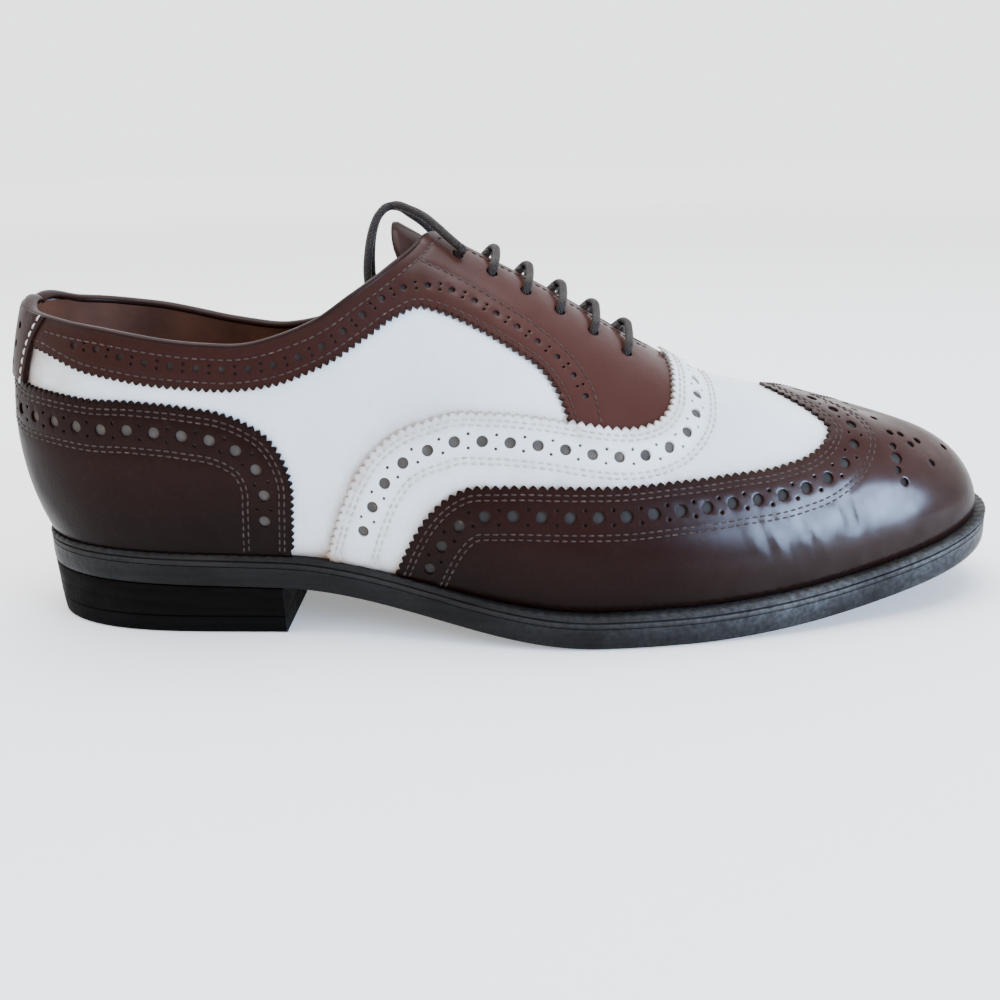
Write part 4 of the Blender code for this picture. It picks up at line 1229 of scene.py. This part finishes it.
def opening_rows():
    """Upper edge of the leather: the topline, the facing's corner, then beside the slit."""
    corner, top = TOPLINE[-1]
    turn = np.linspace(0, 1, 7)[1:]
    bend = corner + turn * CORNER_LENGTH
    slit = np.linspace(bend[-1], SLIT_FRONT, 14)[1:]
    ease = top + (slit_up(bend) - top) * np.sin(turn * math.pi / 2)
    return [*TOPLINE, *zip(bend, ease), *zip(slit, slit_up(slit))]


def eyelet_inset(number):
    """Girth from the crest to an eyelet, less by even steps from the throat up."""
    first, last = EYELET_INSET
    return first + (last - first) * number / (EYELET_PAIRS - 1)


# %% Eyelets
def eyelet_spot(number, side):
    """Chart point of an eyelet, counted from the throat."""
    along = along_where(FIRST_EYELET * SOLE_LENGTH - number * EYELET_SPACING)
    return chart([along * side], [1 - eyelet_inset(number) / np.interp(along, ALONG, GIRTH)])[0]


OPENING = opening_rows()
OPEN_PATH = both_sides(OPENING)
EYELETS = {side: np.array([eyelet_spot(n, side) for n in range(EYELET_PAIRS)]) for side in (1, -1)}


def eyelet_holes(side):
    """The six eyelets of one side as punched holes."""
    rings = list(round_hole(EYELETS[side], EYELET_RADIUS, 20))
    return rings, EYELETS[side], np.full(EYELET_PAIRS, EYELET_RADIUS)


# %% [markdown]
# ## White shell, lining and tongue
# Under the overlays lies one white shell from the welt to the top edge. A brown lining
# backs it inside, and the tongue lies under the slit. The tongue is a sheet whose two
# faces meet in a rounded edge: its thickness follows the square root of the distance
# from the edge.

# %% White shell
BELOW = -0.012


def foot_path(start, end, count):
    """Chart path along the welt, tucked a little below it."""
    return chart(np.linspace(start, end, count), np.full(count, BELOW))


def flat_height(height):
    """A lift that is the same everywhere."""
    return lambda spots: np.full(len(spots), height)


round_foot = np.concatenate([foot_path(0, 1, 420), foot_path(-1, 0, 420)[1:-1]])
tucked = [beside(OPEN_PATH[side], -side * 0.8 * MM) for side in (1, -1)]
tucked = np.concatenate([tucked[0], tucked[1][::-1][:-1]])
cut_panel(
    "white_shell", "upper", round_foot, together(eyelet_holes(1), eyelet_holes(-1)), flat_height(0),
    wall=1.7 * MM, step=2.6 * MM, look=WHITE_CALF, openings=[tucked],
)


# %% Lining
def make_lining():
    """A grid from under the insole to the opening, one wall inside the last, facing in."""
    along = np.concatenate([np.linspace(-1, 0, 240), np.linspace(0, 1, 240)[1:]])
    rows = np.array(OPENING)
    high = np.interp(np.abs(along), rows[:, 0], rows[:, 1])
    high = np.where(np.abs(along) > SLIT_FRONT, 1, high)
    up = BELOW + (high - BELOW)[:, None] * np.linspace(0, 1, 30)
    place, normal = on_last(np.repeat(along[:, None], 30, axis=1), up)
    points = place - normal * UPPER_WALL
    faces = grid_faces(len(along), 30)[:, ::-1]
    return to_piece("lining", points, [faces], LINING, "lining_leather", sharp=50, weld=True)


make_lining()

# %% Tongue
TONGUE_WALL = 2.2 * MM
TONGUE_ROUND = 1.2 * MM
TONGUE_GAP = 0.6 * MM
TONGUE_HALF = 24 * MM
TONGUE_BACK = 0.385
TONGUE_FRONT = 0.650


def make_tongue():
    """Two sheets over the same grid, apart by the wall, and closing at every edge."""
    back, front = (along_where(v * SOLE_LENGTH) for v in (TONGUE_BACK, TONGUE_FRONT))
    u = 1 - np.cos(np.linspace(0, np.pi / 2, 60))
    v = np.sin(np.linspace(-np.pi / 2, np.pi / 2, 61))
    u, v = np.meshgrid(u, v, indexing="ij")
    along = back + (front - back) * (u + (1 - u) * 0.05 * np.abs(v) ** 5)
    side = np.where(v < 0, -1, 1)
    up = 1 - np.abs(v) * TONGUE_HALF / np.interp(along, ALONG, GIRTH)
    place, normal = on_last(along * side, up)
    from_edge = np.minimum((1 - np.abs(v)) * TONGUE_HALF, np.minimum(u, 1 - u) * 80 * MM)
    half = TONGUE_WALL / 2 * np.sqrt(np.clip(from_edge / TONGUE_ROUND, 0, 1))
    middle = -UPPER_WALL - TONGUE_GAP - TONGUE_WALL / 2
    sheets = [place + normal * (middle + s * half)[..., None] for s in (1, -1)]
    faces = grid_faces(60, 61)
    count = 60 * 61
    low_y = sheets[0][30, 0, 1] < sheets[0][30, -1, 1]
    top, bottom = (faces, faces[:, ::-1] + count) if low_y else (faces[:, ::-1], faces + count)
    piece = to_piece(
        "tongue_leather", np.stack(sheets), [top, bottom], BROWN_CALF, "brown_leather",
        sharp=60, weld=True, edge_mm=np.tile(from_edge.ravel() * 1000, 2), foot_mm=60.0,
        burnish=0.25, polish=0.06,
    )
    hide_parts("tongue")


make_tongue()

# %% [markdown]
# ## Brown counter and back strip
# The counter goes round the heel under a pinked edge. The back strip covers the seam
# above it, up to the collar. Both lie on the white shell.

# %% Counter
all_brown_rows = []
small_sets = []
on_shell = flat_height(OVERLAY)
counter_side = both_sides(COUNTER_EDGE)
counter_edge = np.concatenate([counter_side[-1][::-1], counter_side[1][1:]])
counter_teeth = pinked(counter_edge, FINE_TEETH, TOOTH)
counter_foot = foot_path(-COUNTER_EDGE[-1][0], COUNTER_EDGE[-1][0], 300)
line, counter_rows = bands(counter_edge, -1, 0)
counter_rows = [higher(row, LAST_STITCH) for row in counter_rows]
counter_holes = punching(higher(line, 0.02), HOLE_PITCH, HOLE_RADIUS)
# Little burnish on the counter: it is painted darker, as the shade at the heel
cut_panel(
    "counter_leather", "counter", np.concatenate([counter_teeth, counter_foot[::-1]]),
    counter_holes, on_shell, wall=1.2 * MM, step=2.4 * MM, look=BROWN_CALF, rows=counter_rows,
    burnish=0.05,
)
all_brown_rows += counter_rows

# %% [markdown]
# ## Facings
# Each facing runs from the back strip round the collar and down beside the lace, and
# its front nose goes under the vamp. Its lower edge is pinked and has one row of
# stitches, then a line of small holes, one more row between holes and eyelets, and one
# below the collar.

# %% Facing sizes
# Front part of the facing that lies hidden under the vamp
NOSE_ROWS = [(0.553, 0.478), (0.580, 0.470), (0.612, 0.490), (0.640, 0.530), (0.660, 0.600),
             (0.668, 0.700), (0.670, 0.850), (0.670, 0.990)]
# Line of small holes: along, up at the collar and up to the bend, then girth from the crest, mm
HOLE_ROWS = [(0.110, 0.408), (0.175, 0.406), (0.230, 0.411), (0.270, 0.424), (0.302, 0.452),
             (0.335, 0.510), (0.362, 0.590), (0.383, 0.668)]
HOLE_GIRTHS = [(0.397, 34), (0.421, 28.5), (0.440, 26.5), (0.482, 28), (0.517, 31), (0.545, 35),
               (0.560, 41), (0.566, 48)]
# The row of stitches between holes and eyelets, in the same way
STAY_GIRTHS = [(0.417, 21), (0.444, 21), (0.485, 23.5), (0.527, 27), (0.551, 31), (0.566, 37),
               (0.574, 47)]


def from_crest(rows):
    """Rows of (along, girth from the crest in mm) as rows of (along, up)."""
    return [(a, 1 - g * MM / np.interp(a, ALONG, GIRTH)) for a, g in rows]


def collar_redness_and_light(along, up):
    """Burnish and painted light: the facing is redder and lighter towards the lace, and most
    at its nose.
    """
    return 0.30 + 0.35 * smooth((np.abs(along) - 0.36) / 0.16) * smooth((up - 0.3) / 0.25)


# %% A facing
def make_facing(side, name, node):
    """One facing: teeth, nose, slit edge and collar edge joined into a rim."""
    edge = edge_path(FACING_EDGE, side)
    low = pinked(edge, FINE_TEETH, -side * TOOTH)
    nose = edge_path(NOSE_ROWS, side)
    front = np.array([NOSE_ROWS[-1][0]])
    slit = chart(side * front, slit_up(front))
    # The facing ends under the back strip, its collar row beside the strip
    top = OPEN_PATH[side][::-1]
    top = top[np.abs(locate(top)[:, 0]) > 0.05]
    rim = np.concatenate([low, nose[1:], slit, top])
    line = edge_path(HOLE_ROWS + from_crest(HOLE_GIRTHS), side)
    holes = punching(line, SMALL_PITCH, SMALL_HOLE, pin_offset=1.0 * MM)
    stay = edge_path(from_crest(STAY_GIRTHS), side)
    collar = beside(OPEN_PATH[side], -side * 3.4 * MM)
    collar = collar[np.abs(locate(collar)[:, 0]) > 0.09]
    rows = [beside(edge, side * 2.0 * MM), stay, collar[:-6]]
    holes = together(eyelet_holes(side), holes)
    cut_panel(
        name, node, rim, holes, on_shell, wall=3.0 * MM, step=2.2 * MM, look=BROWN_CALF, rows=rows,
        burnish=collar_redness_and_light,
    )
    all_brown_rows.extend(rows)
    small_sets.append(tuple(part[EYELET_PAIRS:] for part in holes))
    return rim


facing_rims = {
    1: make_facing(1, "facing_outer_leather", "facing_outer"),
    -1: make_facing(-1, "facing_inner_leather", "facing_inner"),
}


# %% Back strip
def on_facing(spots):
    """The strip lies over the facings' ends."""
    return np.full(len(spots), OVERLAY + 0.8 * MM)


# Half its width, as places along, and the heights that they belong to, from the foot up
STRIP_HALF = np.array([0.066, 0.072, 0.088])
STRIP_UP = [0.322, 0.385, 0.4555]
strip_sides = [flowing(chart(s * STRIP_HALF, STRIP_UP), 0.6 * MM) for s in (1, -1)]
across = np.linspace(STRIP_HALF[-1], -STRIP_HALF[-1], 60)
strip_top = chart(across, np.interp(np.abs(across), *np.array(OPENING).T) + 0.004)
strip_foot = chart(np.linspace(-STRIP_HALF[0], STRIP_HALF[0], 60), np.full(60, STRIP_UP[0]))
strip_rim = np.concatenate([
    strip_sides[0], strip_top[1:-1], strip_sides[1][::-1], strip_foot[1:-1]
])
strip_holes = chart([0.042, 0.047, 0.052, -0.042, -0.047, -0.052], [0.350, 0.388, 0.425] * 2)
strip_punched = (list(round_hole(strip_holes, SMALL_HOLE, 16)), strip_holes, np.full(6, SMALL_HOLE))
strip_rows = [beside(edge, s * 1.6 * MM)[:-4] for edge, s in zip(strip_sides, (1, -1))]
cut_panel(
    "back_strip_leather", "back_strip", strip_rim, strip_punched, on_facing, wall=1.4 * MM,
    step=2.0 * MM, look=BROWN_CALF, rows=strip_rows, burnish=0.2,
)
small_sets.append(strip_punched)

# %% [markdown]
# ## White vamp
# The vamp laps over the facings' noses with a white pinked edge, so there it stands one
# layer higher. Its front goes out of sight under the wing cap.


# %% Vamp
def over_nose(spots):
    """One layer over the shell, and one more, eased in, over the facings' noses."""
    step = np.zeros(len(spots))
    for rim in facing_rims.values():
        near = smooth(1 - distance_to(spots, rim) / (2.2 * MM))
        step = np.maximum(step, np.where(inside(spots, rim), 1, near))
    return OVERLAY * (1 + 0.85 * step)


vamp_side = both_sides(VAMP_EDGE)
vamp_edge = np.concatenate([vamp_side[-1], vamp_side[1][::-1][1:]])
vamp_teeth = pinked(vamp_edge, COARSE_TEETH, -TOOTH)
# The hidden front follows the wing's edge, one punched band further in
under_wing = np.array([(a + 0.020, u - 0.050 * (1 - u)) for a, u in WING_EDGE])
under_wing[0, 1] = BELOW
vamp_front = both_sides(under_wing)
vamp_rim = np.concatenate([
    vamp_teeth, foot_path(VAMP_EDGE[0][0], under_wing[0, 0], 40)[1:], vamp_front[1],
    vamp_front[-1][::-1][1:], foot_path(-under_wing[0, 0], -VAMP_EDGE[0][0], 40)[1:],
])
line, vamp_rows = bands(vamp_edge, 1, 0)
vamp_rows = [higher(row, LAST_STITCH) for row in vamp_rows]
vamp_holes = punching(higher(line, 0.03), HOLE_PITCH, HOLE_RADIUS)
cut_panel(
    "vamp_leather", "vamp", vamp_rim, vamp_holes, over_nose, wall=1.3 * MM, step=2.2 * MM,
    look=WHITE_CALF, rows=vamp_rows,
)

# %% [markdown]
# ## Wing cap and medallion
# The brown cap covers the toe, with a wing down each side and a point on the crest. On
# its top is a medallion: one large hole with a spray of smaller ones round it, the same
# on both sides of the crest, as on any full brogue.


# %% Wing cap
def cap_redness_and_light(along, up):
    """Burnish and painted light: the cap is redder and lighter towards the toe."""
    return 0.10 + 0.28 * smooth((np.abs(along) - 0.6) / 0.3)


on_vamp = flat_height(WING_HEIGHT)
# along, up and radius in millimetres, on both sides of the crest
MEDALLION = [
    (0.870, 0.464, 1.9), (0.890, 0.615, 1.2), (0.876, 0.529, 1.2), (0.905, 0.595, 1.2),
    (0.903, 0.519, 1.2), (0.921, 0.529, 1.2), (0.962, 0.412, 1.2), (0.911, 0.388, 1.2),
    (0.864, 0.406, 1.2), (0.866, 0.344, 1.2), (0.905, 0.760, 1.2), (0.905, 0.880, 1.2),
]
wing_side = both_sides(WING_EDGE)
wing_rows, wing_sets, teeth = [], [], {}
for side in (1, -1):
    teeth[side] = pinked(wing_side[side], COARSE_TEETH, side * TOOTH)
    line, rows = bands(wing_side[side], -side, side)
    wing_rows += rows
    wing_sets.append(punching(line, HOLE_PITCH, HOLE_RADIUS))
    spots = chart([m[0] * side for m in MEDALLION], [m[1] for m in MEDALLION])
    radii = np.array([m[2] * MM for m in MEDALLION])
    rings = [round_hole(spots[k:k + 1], radii[k], 18)[0] for k in range(len(spots))]
    wing_sets.append((rings, spots, radii))
wing_holes = together(*wing_sets)
wing_foot = [foot_path(WING_EDGE[0][0], 1, 420), foot_path(-1, -WING_EDGE[0][0], 420)]
wing_rim = np.concatenate([teeth[1][::-1], wing_foot[0][1:], wing_foot[1][1:], teeth[-1]])
cut_panel(
    "wing_cap_leather", "wing_cap", wing_rim, wing_holes, on_vamp, wall=1.3 * MM, step=2.0 * MM,
    look=BROWN_CALF, rows=wing_rows, burnish=cap_redness_and_light,
)

# %% Threads and hole backs
stitches("brown_stitches", all_brown_rows, on_shell, BROWN_THREAD, "brown_leather")
stitches("wing_stitches", wing_rows, on_vamp, BROWN_THREAD, "brown_leather")
stitches("vamp_stitches", vamp_rows, over_nose, WHITE_THREAD, "white_leather", thread=0.34 * MM)
stitches(
    "strip_stitches", strip_rows, on_facing, WHITE_THREAD, "white_leather",
    pitch=3.0 * MM, thread=0.3 * MM,
)
# Three tacks across the end of the slit, each at its (along, up)
tack = [
    chart([a, a + 0.001, -a - 0.001, -a], [u, 1 - 0.3 * (1 - u), 1 - 0.3 * (1 - u), u])
    for a, u in ((0.6415, 0.962), (0.6440, 0.955), (0.6465, 0.962))
]
stitches(
    "throat_tacks", tack, over_nose, WHITE_THREAD, "white_leather",
    pitch=2.2 * MM, thread=0.45 * MM,
)
backing("hole_backs", [counter_holes, vamp_holes], [on_shell, over_nose], UNDERLAY)
backing("wing_hole_backs", [wing_holes], [on_vamp], WING_UNDERLAY)
backing("small_hole_backs", small_sets, [on_shell, on_shell, on_facing], DARK_UNDERLAY)

# %% [markdown]
# ## Collar roll
# The collar's edge is turned over and rolled, about 4 mm thick and 2.5 mm high. It is an
# oval profile carried round the topline, thinner beside the lace.

# %% Collar roll
ROLL_SIDES = 16
ROLL_DEPTH = 0.2 * MM - 0.7 * MM
ROLL_THICK = 1.95 * MM
ROLL_HIGH = 1.25 * MM


def make_roll():
    """Oval profile: thickness along the normal by cosine, height in the leather by sine."""
    path = np.concatenate([OPEN_PATH[-1][::-1], OPEN_PATH[1][1:]])
    path = path[np.abs(locate(path)[:, 0]) < SLIT_FRONT - 0.004]
    place, normal = surface(path)
    across = np.cross(normal, unit(np.gradient(place, axis=0)))
    along = np.abs(locate(path)[:, 0])
    thin = 1 - 0.45 * smooth((along - 0.40) / 0.05)
    thin = thin * np.sqrt(np.clip((SLIT_FRONT - 0.003 - along) / 0.01, 0.02, 1))
    angle = np.linspace(0, 2 * np.pi, ROLL_SIDES, endpoint=False)
    thick = (ROLL_DEPTH + ROLL_THICK * np.cos(angle) * thin[:, None])[..., None]
    high = (ROLL_HIGH * np.sin(angle) * thin[:, None])[..., None]
    points = place[:, None] + normal[:, None] * thick + across[:, None] * high
    faces = grid_faces(len(path), ROLL_SIDES, wrap_columns=True)[:, ::-1]
    return to_piece(
        "collar_roll", points, [faces], BROWN_CALF, "brown_leather", sharp=60,
        edge_mm=9.0, foot_mm=60.0, burnish=0.15, polish=0.1,
    )


make_roll()

# %% [markdown]
# ## Lace crossings
# At each pair of eyelets two bars come up through the leather, run to the middle and
# cross, the outer one on top, before they dip into the slit to the next pair.

# %% Lace crossings
# across: share of the eyelet's distance from the crest. back and height: millimetres.
#  across  back  height
BAR_ROWS = np.array([
    (1.03, 0.0, -2.5), (1.02, 0.0, -0.6), (0.98, 0.0, 1.2), (0.90, -0.1, 2.6), (0.78, -0.2, 3.0),
    (0.60, -0.3, 3.2), (0.40, -0.1, 3.6), (0.20, 0.4, 3.9), (0.02, 1.4, 3.2), (-0.06, 2.0, 1.4),
    (-0.10, 2.6, -0.8),
])


def lace_bar(number, side):
    """Path of one bar from an eyelet over the crest, as points above the last."""
    across, back, height = BAR_ROWS.T
    x = FIRST_EYELET * SOLE_LENGTH - number * EYELET_SPACING - back * MM
    along = np.array([along_where(v) for v in x])
    up = 1 - np.abs(across) * eyelet_inset(number) / np.interp(along, ALONG, GIRTH)
    place, normal = on_last(along * side * np.where(across < 0, -1, 1), up)
    over = height + side * 0.55 * np.exp(-((across - 0.15) / 0.25) ** 2)
    return flowing(place + normal * over[:, None] * MM, 0.5 * MM)


# %% All the laces
def lace_root(name, side, route):
    """Short bar that brings a free end up out of its top eyelet."""
    place, normal = surface(EYELETS[side][-1:])
    start, ahead = (np.array(route[k]) - ORIGIN for k in (0, 1))
    way = unit(ahead - start)
    knots = [place[0] + rise * MM * normal[0] for rise in (-2.6, -0.4, 1.5)]
    knots += [start + reach * MM * way for reach in (-0.9, 1.0)]
    tube(name, flowing(knots, 0.3 * MM), LACE_RADIUS)


lace_root("lace_root_outer", 1, OUTER_LACE_END)
lace_root("lace_root_inner", -1, INNER_LACE_END)
for number in range(EYELET_PAIRS - 1):
    for side, label in ((1, "outer"), (-1, "inner")):
        bar, _ = tube(f"lace_bar_{number + 1}_{label}", lace_bar(number, side), LACE_RADIUS)
        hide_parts(f"lace_cross_{number + 1}")

# %% [markdown]
# ## Sole
# The welt, outsole, heel stack, top lift and the sock inside are layers of one outline.
# Each is a profile carried round the shoe: rows from its middle out to the edge, up the
# edge and back. The welt has a groove under its lip and wheel marks on top, the outsole
# a rounded edge, and the heel its lift lines and a flat breast.


# %% A layer of the sole
WHEEL_PITCH = 3.5 * MM


def dust_and_sheen_share(x):
    """Share of dust and painted sheen: little at the heel and the waist, rising over the
    forepart to the toe.
    """
    return 0.08 + 0.92 * smooth((x - 0.14) / 0.13)


def layer(name, node, along, rows, low, high, look, slot, ring=False, marks=0.0):
    """Profile rows carried along the outline, one section at every station.

    Each row is reach from the middle out (0 to 1), share of the edge's width, millimetres
    further out, level from low to high (0 to 1), millimetres up, dust and painted sheen,
    and wheel marks.
    """
    reach, share, out, level, rise, dust, mark = np.array(rows, float).T
    wide = np.repeat(along[:, None], len(rows), axis=1)
    width = edge_width(along)
    plan = outline(wide, width[:, None] * share + out * MM)
    half = width * share.max()
    middle = (outline(along, half) + outline(-along, half)) / 2
    plan = middle[:, None] * (1 - reach[:, None]) + plan * reach[:, None]
    run = running(np.hypot(*np.diff(plan[:, 3], axis=0).T))
    wheel = 0.5 + 0.5 * np.cos(2 * np.pi * run / WHEEL_PITCH)
    z = low(plan[..., 0]) * (1 - level) + high(plan[..., 0]) * level + rise * MM
    z = z - marks * MM * mark * wheel[:, None]
    points = np.concatenate([plan, z[..., None]], axis=-1) - ORIGIN
    faces = grid_faces(len(along), len(rows), wrap_rows=True, wrap_columns=ring)
    # Dust and painted sheen, more towards the toe
    piece = to_piece(
        name, points, [faces], look, slot, sharp=42, weld=not ring,
        dust=(dust_and_sheen_share(plan[..., 0]) * dust).ravel(),
    )
    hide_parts(node)
    return piece


def flat_at(height):
    """A surface at the same height everywhere."""
    return lambda x: height + 0 * x


def raised(surface_at, rise):
    """A surface moved up by a distance."""
    return lambda x: surface_at(x) + rise


# %% Outsole and welt
STATIONS = np.linspace(-1, 1, 1320, endpoint=False)
places = np.linspace(0.02, 0.6, 500)
BREAST = float(np.interp(HEEL_LENGTH, rib_points(places, np.zeros(500))[:, 0], places))
layer(
    "outsole_leather", "outsole", STATIONS, [
        (0, 1, 0, 0, 0, 0.3, 0), (0.5, 1, 0, 0, 0, 0.3, 0), (0.93, 1, 0, 0, 0, 0.3, 0),
        (1, 1, -1.0, 0, 0.05, 0.5, 0), (1, 1, -0.3, 0, 0.35, 0.6, 0), (1, 1, 0, 0, 1.1, 0.7, 0),
        (1, 1, 0.1, 0.5, 0, 0.8, 0), (1, 1, 0, 1, -0.1, 1.6, 0), (1, 1, -0.6, 1, 0, 0.6, 0),
        (0.5, 1, 0, 1, 0, 0, 0), (0, 1, 0, 1, 0, 0, 0),
    ], sole_underside, sole_top, EDGE_LEATHER, "sole_leather",
)
layer(
    "welt_strip", "welt", STATIONS, [
        (1, 0, -8, 0, 0.1, 0, 0), (1, 1, -0.6, 0, 0.1, 0.3, 0), (1, 1, 0, 0, 0.15, 0.3, 0),
        (1, 1, 0.05, 0, 1.2, 1.6, 0), (1, 1, 0, 0, 1.55, 1.2, 0), (1, 1, -0.5, 0, 1.8, 0.1, 0),
        (1, 1, -0.5, 0, 2.0, 0.1, 0), (1, 1, 0.05, 0, 2.25, 1.0, 0), (1, 1, 0.1, 0, 2.9, 0.8, 0.5),
        (1, 1, -0.1, 1, -0.35, 0.9, 1), (1, 1, -0.5, 1, 0, 1.0, 1), (1, 0.72, 0, 1, 0, 1.0, 1),
        (1, 0.55, 0, 1, -0.25, 0.7, 0), (1, 0.38, 0, 1, -0.25, 0.7, 0), (1, 0.22, 0, 1, 0, 0.9, 0),
        (1, 0, -1, 1, 0, 0.6, 0), (1, 0, -8, 1, 0, 0, 0),
    ], sole_top, raised(sole_top, WELT - 0.3 * MM), WELT_LEATHER, "welt_leather",
    ring=True, marks=0.30,
)
# %% Heel stack, top lift and sock
HEEL_STATIONS = np.linspace(-BREAST, BREAST, 420)
layer(
    "heel_stack_leather", "heel_stack", HEEL_STATIONS, [
        (0, 1, 0, 0, 0, 0, 0), (1, 1, -1.1, 0, 0, 0.1, 0), (1, 1, -0.65, 0, 0.2, 0.3, 0),
        (1, 1, -0.5, 0.30, 0, 0.2, 0), (1, 1, -0.45, 0.48, 0, 0.2, 0), (1, 1, -0.52, 0.52, 0, 0.1, 0),
        (1, 1, -0.40, 0.56, 0, 0.2, 0), (1, 1, -0.15, 1, -0.4, 0.2, 0), (1, 1, -0.4, 1, 0, 0.2, 0),
        (0, 1, 0, 1, 0, 0, 0),
    ], flat_at(TOP_LIFT + 0.1 * MM), raised(sole_underside, -0.1 * MM), HEEL_LEATHER, "sole_leather",
)
layer(
    "top_lift_rubber", "top_lift", HEEL_STATIONS, [
        (0, 1, 0, 0, 0, 0, 0), (1, 1, -1.9, 0, 0, 0.3, 0), (1, 1, -1.2, 0, 0.35, 0.5, 0),
        (1, 1, -0.9, 0.5, 0, 0.3, 0), (1, 1, -0.75, 1, -0.25, 0.3, 0), (1, 1, -1.0, 1, 0, 0.2, 0),
        (0, 1, 0, 1, 0, 0, 0),
    ], flat_at(0), flat_at(TOP_LIFT), HEEL_RUBBER, "heel_rubber",
)
layer(
    "insole_sock", "insole", STATIONS[::3], [
        (0, 0, 0, 0, -2.0, 0, 0), (1, 0, -3.2, 0, -2.0, 0, 0), (1, 0, -2.4, 0, 0.5, 0, 0),
        (1, 0, -2.3, 1, 0.6, 0, 0), (1, 0, -3.6, 1, 0.5, 0, 0), (0.8, 0, -2.6, 1, 0, 0, 0),
        (0.4, 0, -2.6, 1, -0.2, 0, 0), (0, 0, 0, 1, -0.2, 0, 0),
    ], raised(sole_top, WELT), raised(sole_top, WELT + INSOLE), SOCK_LEATHER, "lining_leather",
)

# %% [markdown]
# ## Studio
# A pale floor, painted with a glow that grows with distance so that it meets the white
# surround without a line, one large soft light in front on the toe's side, a wide one
# above and a weak one from the heel. They give the broad cool highlight on the toe and
# keep the shadow under the sole short.


# %% Floor
FLOOR_HALF = 9.0


def make_floor():
    """A flat square, far larger than the view; its paper glows, as painted light, more with
    distance.
    """
    x, y = np.meshgrid([-FLOOR_HALF, FLOOR_HALF], [-FLOOR_HALF, FLOOR_HALF], indexing="ij")
    mesh = bpy.data.meshes.new("floor")
    mesh.from_pydata(np.stack([x, y, 0 * x], axis=-1).reshape(-1, 3), [], [(0, 2, 3, 1)])
    made = bpy.data.objects.new("floor", mesh)
    bpy.context.scene.collection.objects.link(made)
    paint, tree, shader, place = start_material(
        "glowing_white_paper", Roughness=0.9, Specular_IOR_Level=0.1
    )
    colour = coats(tree, "F4F4F4", (patches(tree, place, 400 * MM, 0.3, 0.7), "F7F7F7"))
    # Painted light: the paper glows, faintly near the shoe and more further out
    far = add(tree, "VectorMath", {0: place}, "Value", operation="LENGTH")
    glow = add(tree, "MapRange", {
        "Value": far, "From Min": 0.2, "From Max": 3.0, "To Min": 0.3, "To Max": 1.2
    })
    feed(tree, shader, {
        "Base Color": colour, "Emission Strength": glow, "Emission Color": linear("FFFFFF")
    })
    mesh.materials.append(paint)


# %% World and lights
def soft_light(name, at, aim, size, power, colour):
    """A round area light at a place, turned to look at another."""
    data = bpy.data.lights.new(name, "AREA")
    data.shape = "DISK"
    data.size = size
    data.energy = power
    data.color = linear(colour)[:3]
    made = bpy.data.objects.new(name, data)
    bpy.context.scene.collection.objects.link(made)
    made.location = at
    made.rotation_euler = (Vector(aim) - Vector(at)).to_track_quat("-Z", "Y").to_euler()


make_floor()
world = bpy.data.worlds.new("white_surround")
world.use_nodes = True
bpy.context.scene.world = world
tree = world.node_tree
behind = add(tree, "VectorMath", {
    0: add(tree, "TexCoord", output="Generated"), 1: (-0.4, 0.9, 0.0)
}, "Value", operation="DOT_PRODUCT")
strength = add(tree, "MapRange", {
    "Value": behind, "From Min": -0.3, "From Max": 0.5, "To Min": 0.7, "To Max": 2.6
}, interpolation_type="SMOOTHSTEP")
feed(tree, tree.nodes["Background"], {"Strength": strength, "Color": linear("FBFDFF")})
soft_light("front_toe_light", (1.05, -0.78, 0.42), (0.08, 0, 0.03), 0.75, 37, "B4D3FF")
soft_light("overhead_light", (0.0, 0.1, 1.3), (0, 0, 0.03), 1.2, 22, "FFFFFF")
soft_light("heel_fill", (-1.1, -0.5, 0.6), (-0.05, 0, 0.05), 0.8, 3, "FFF9F2")
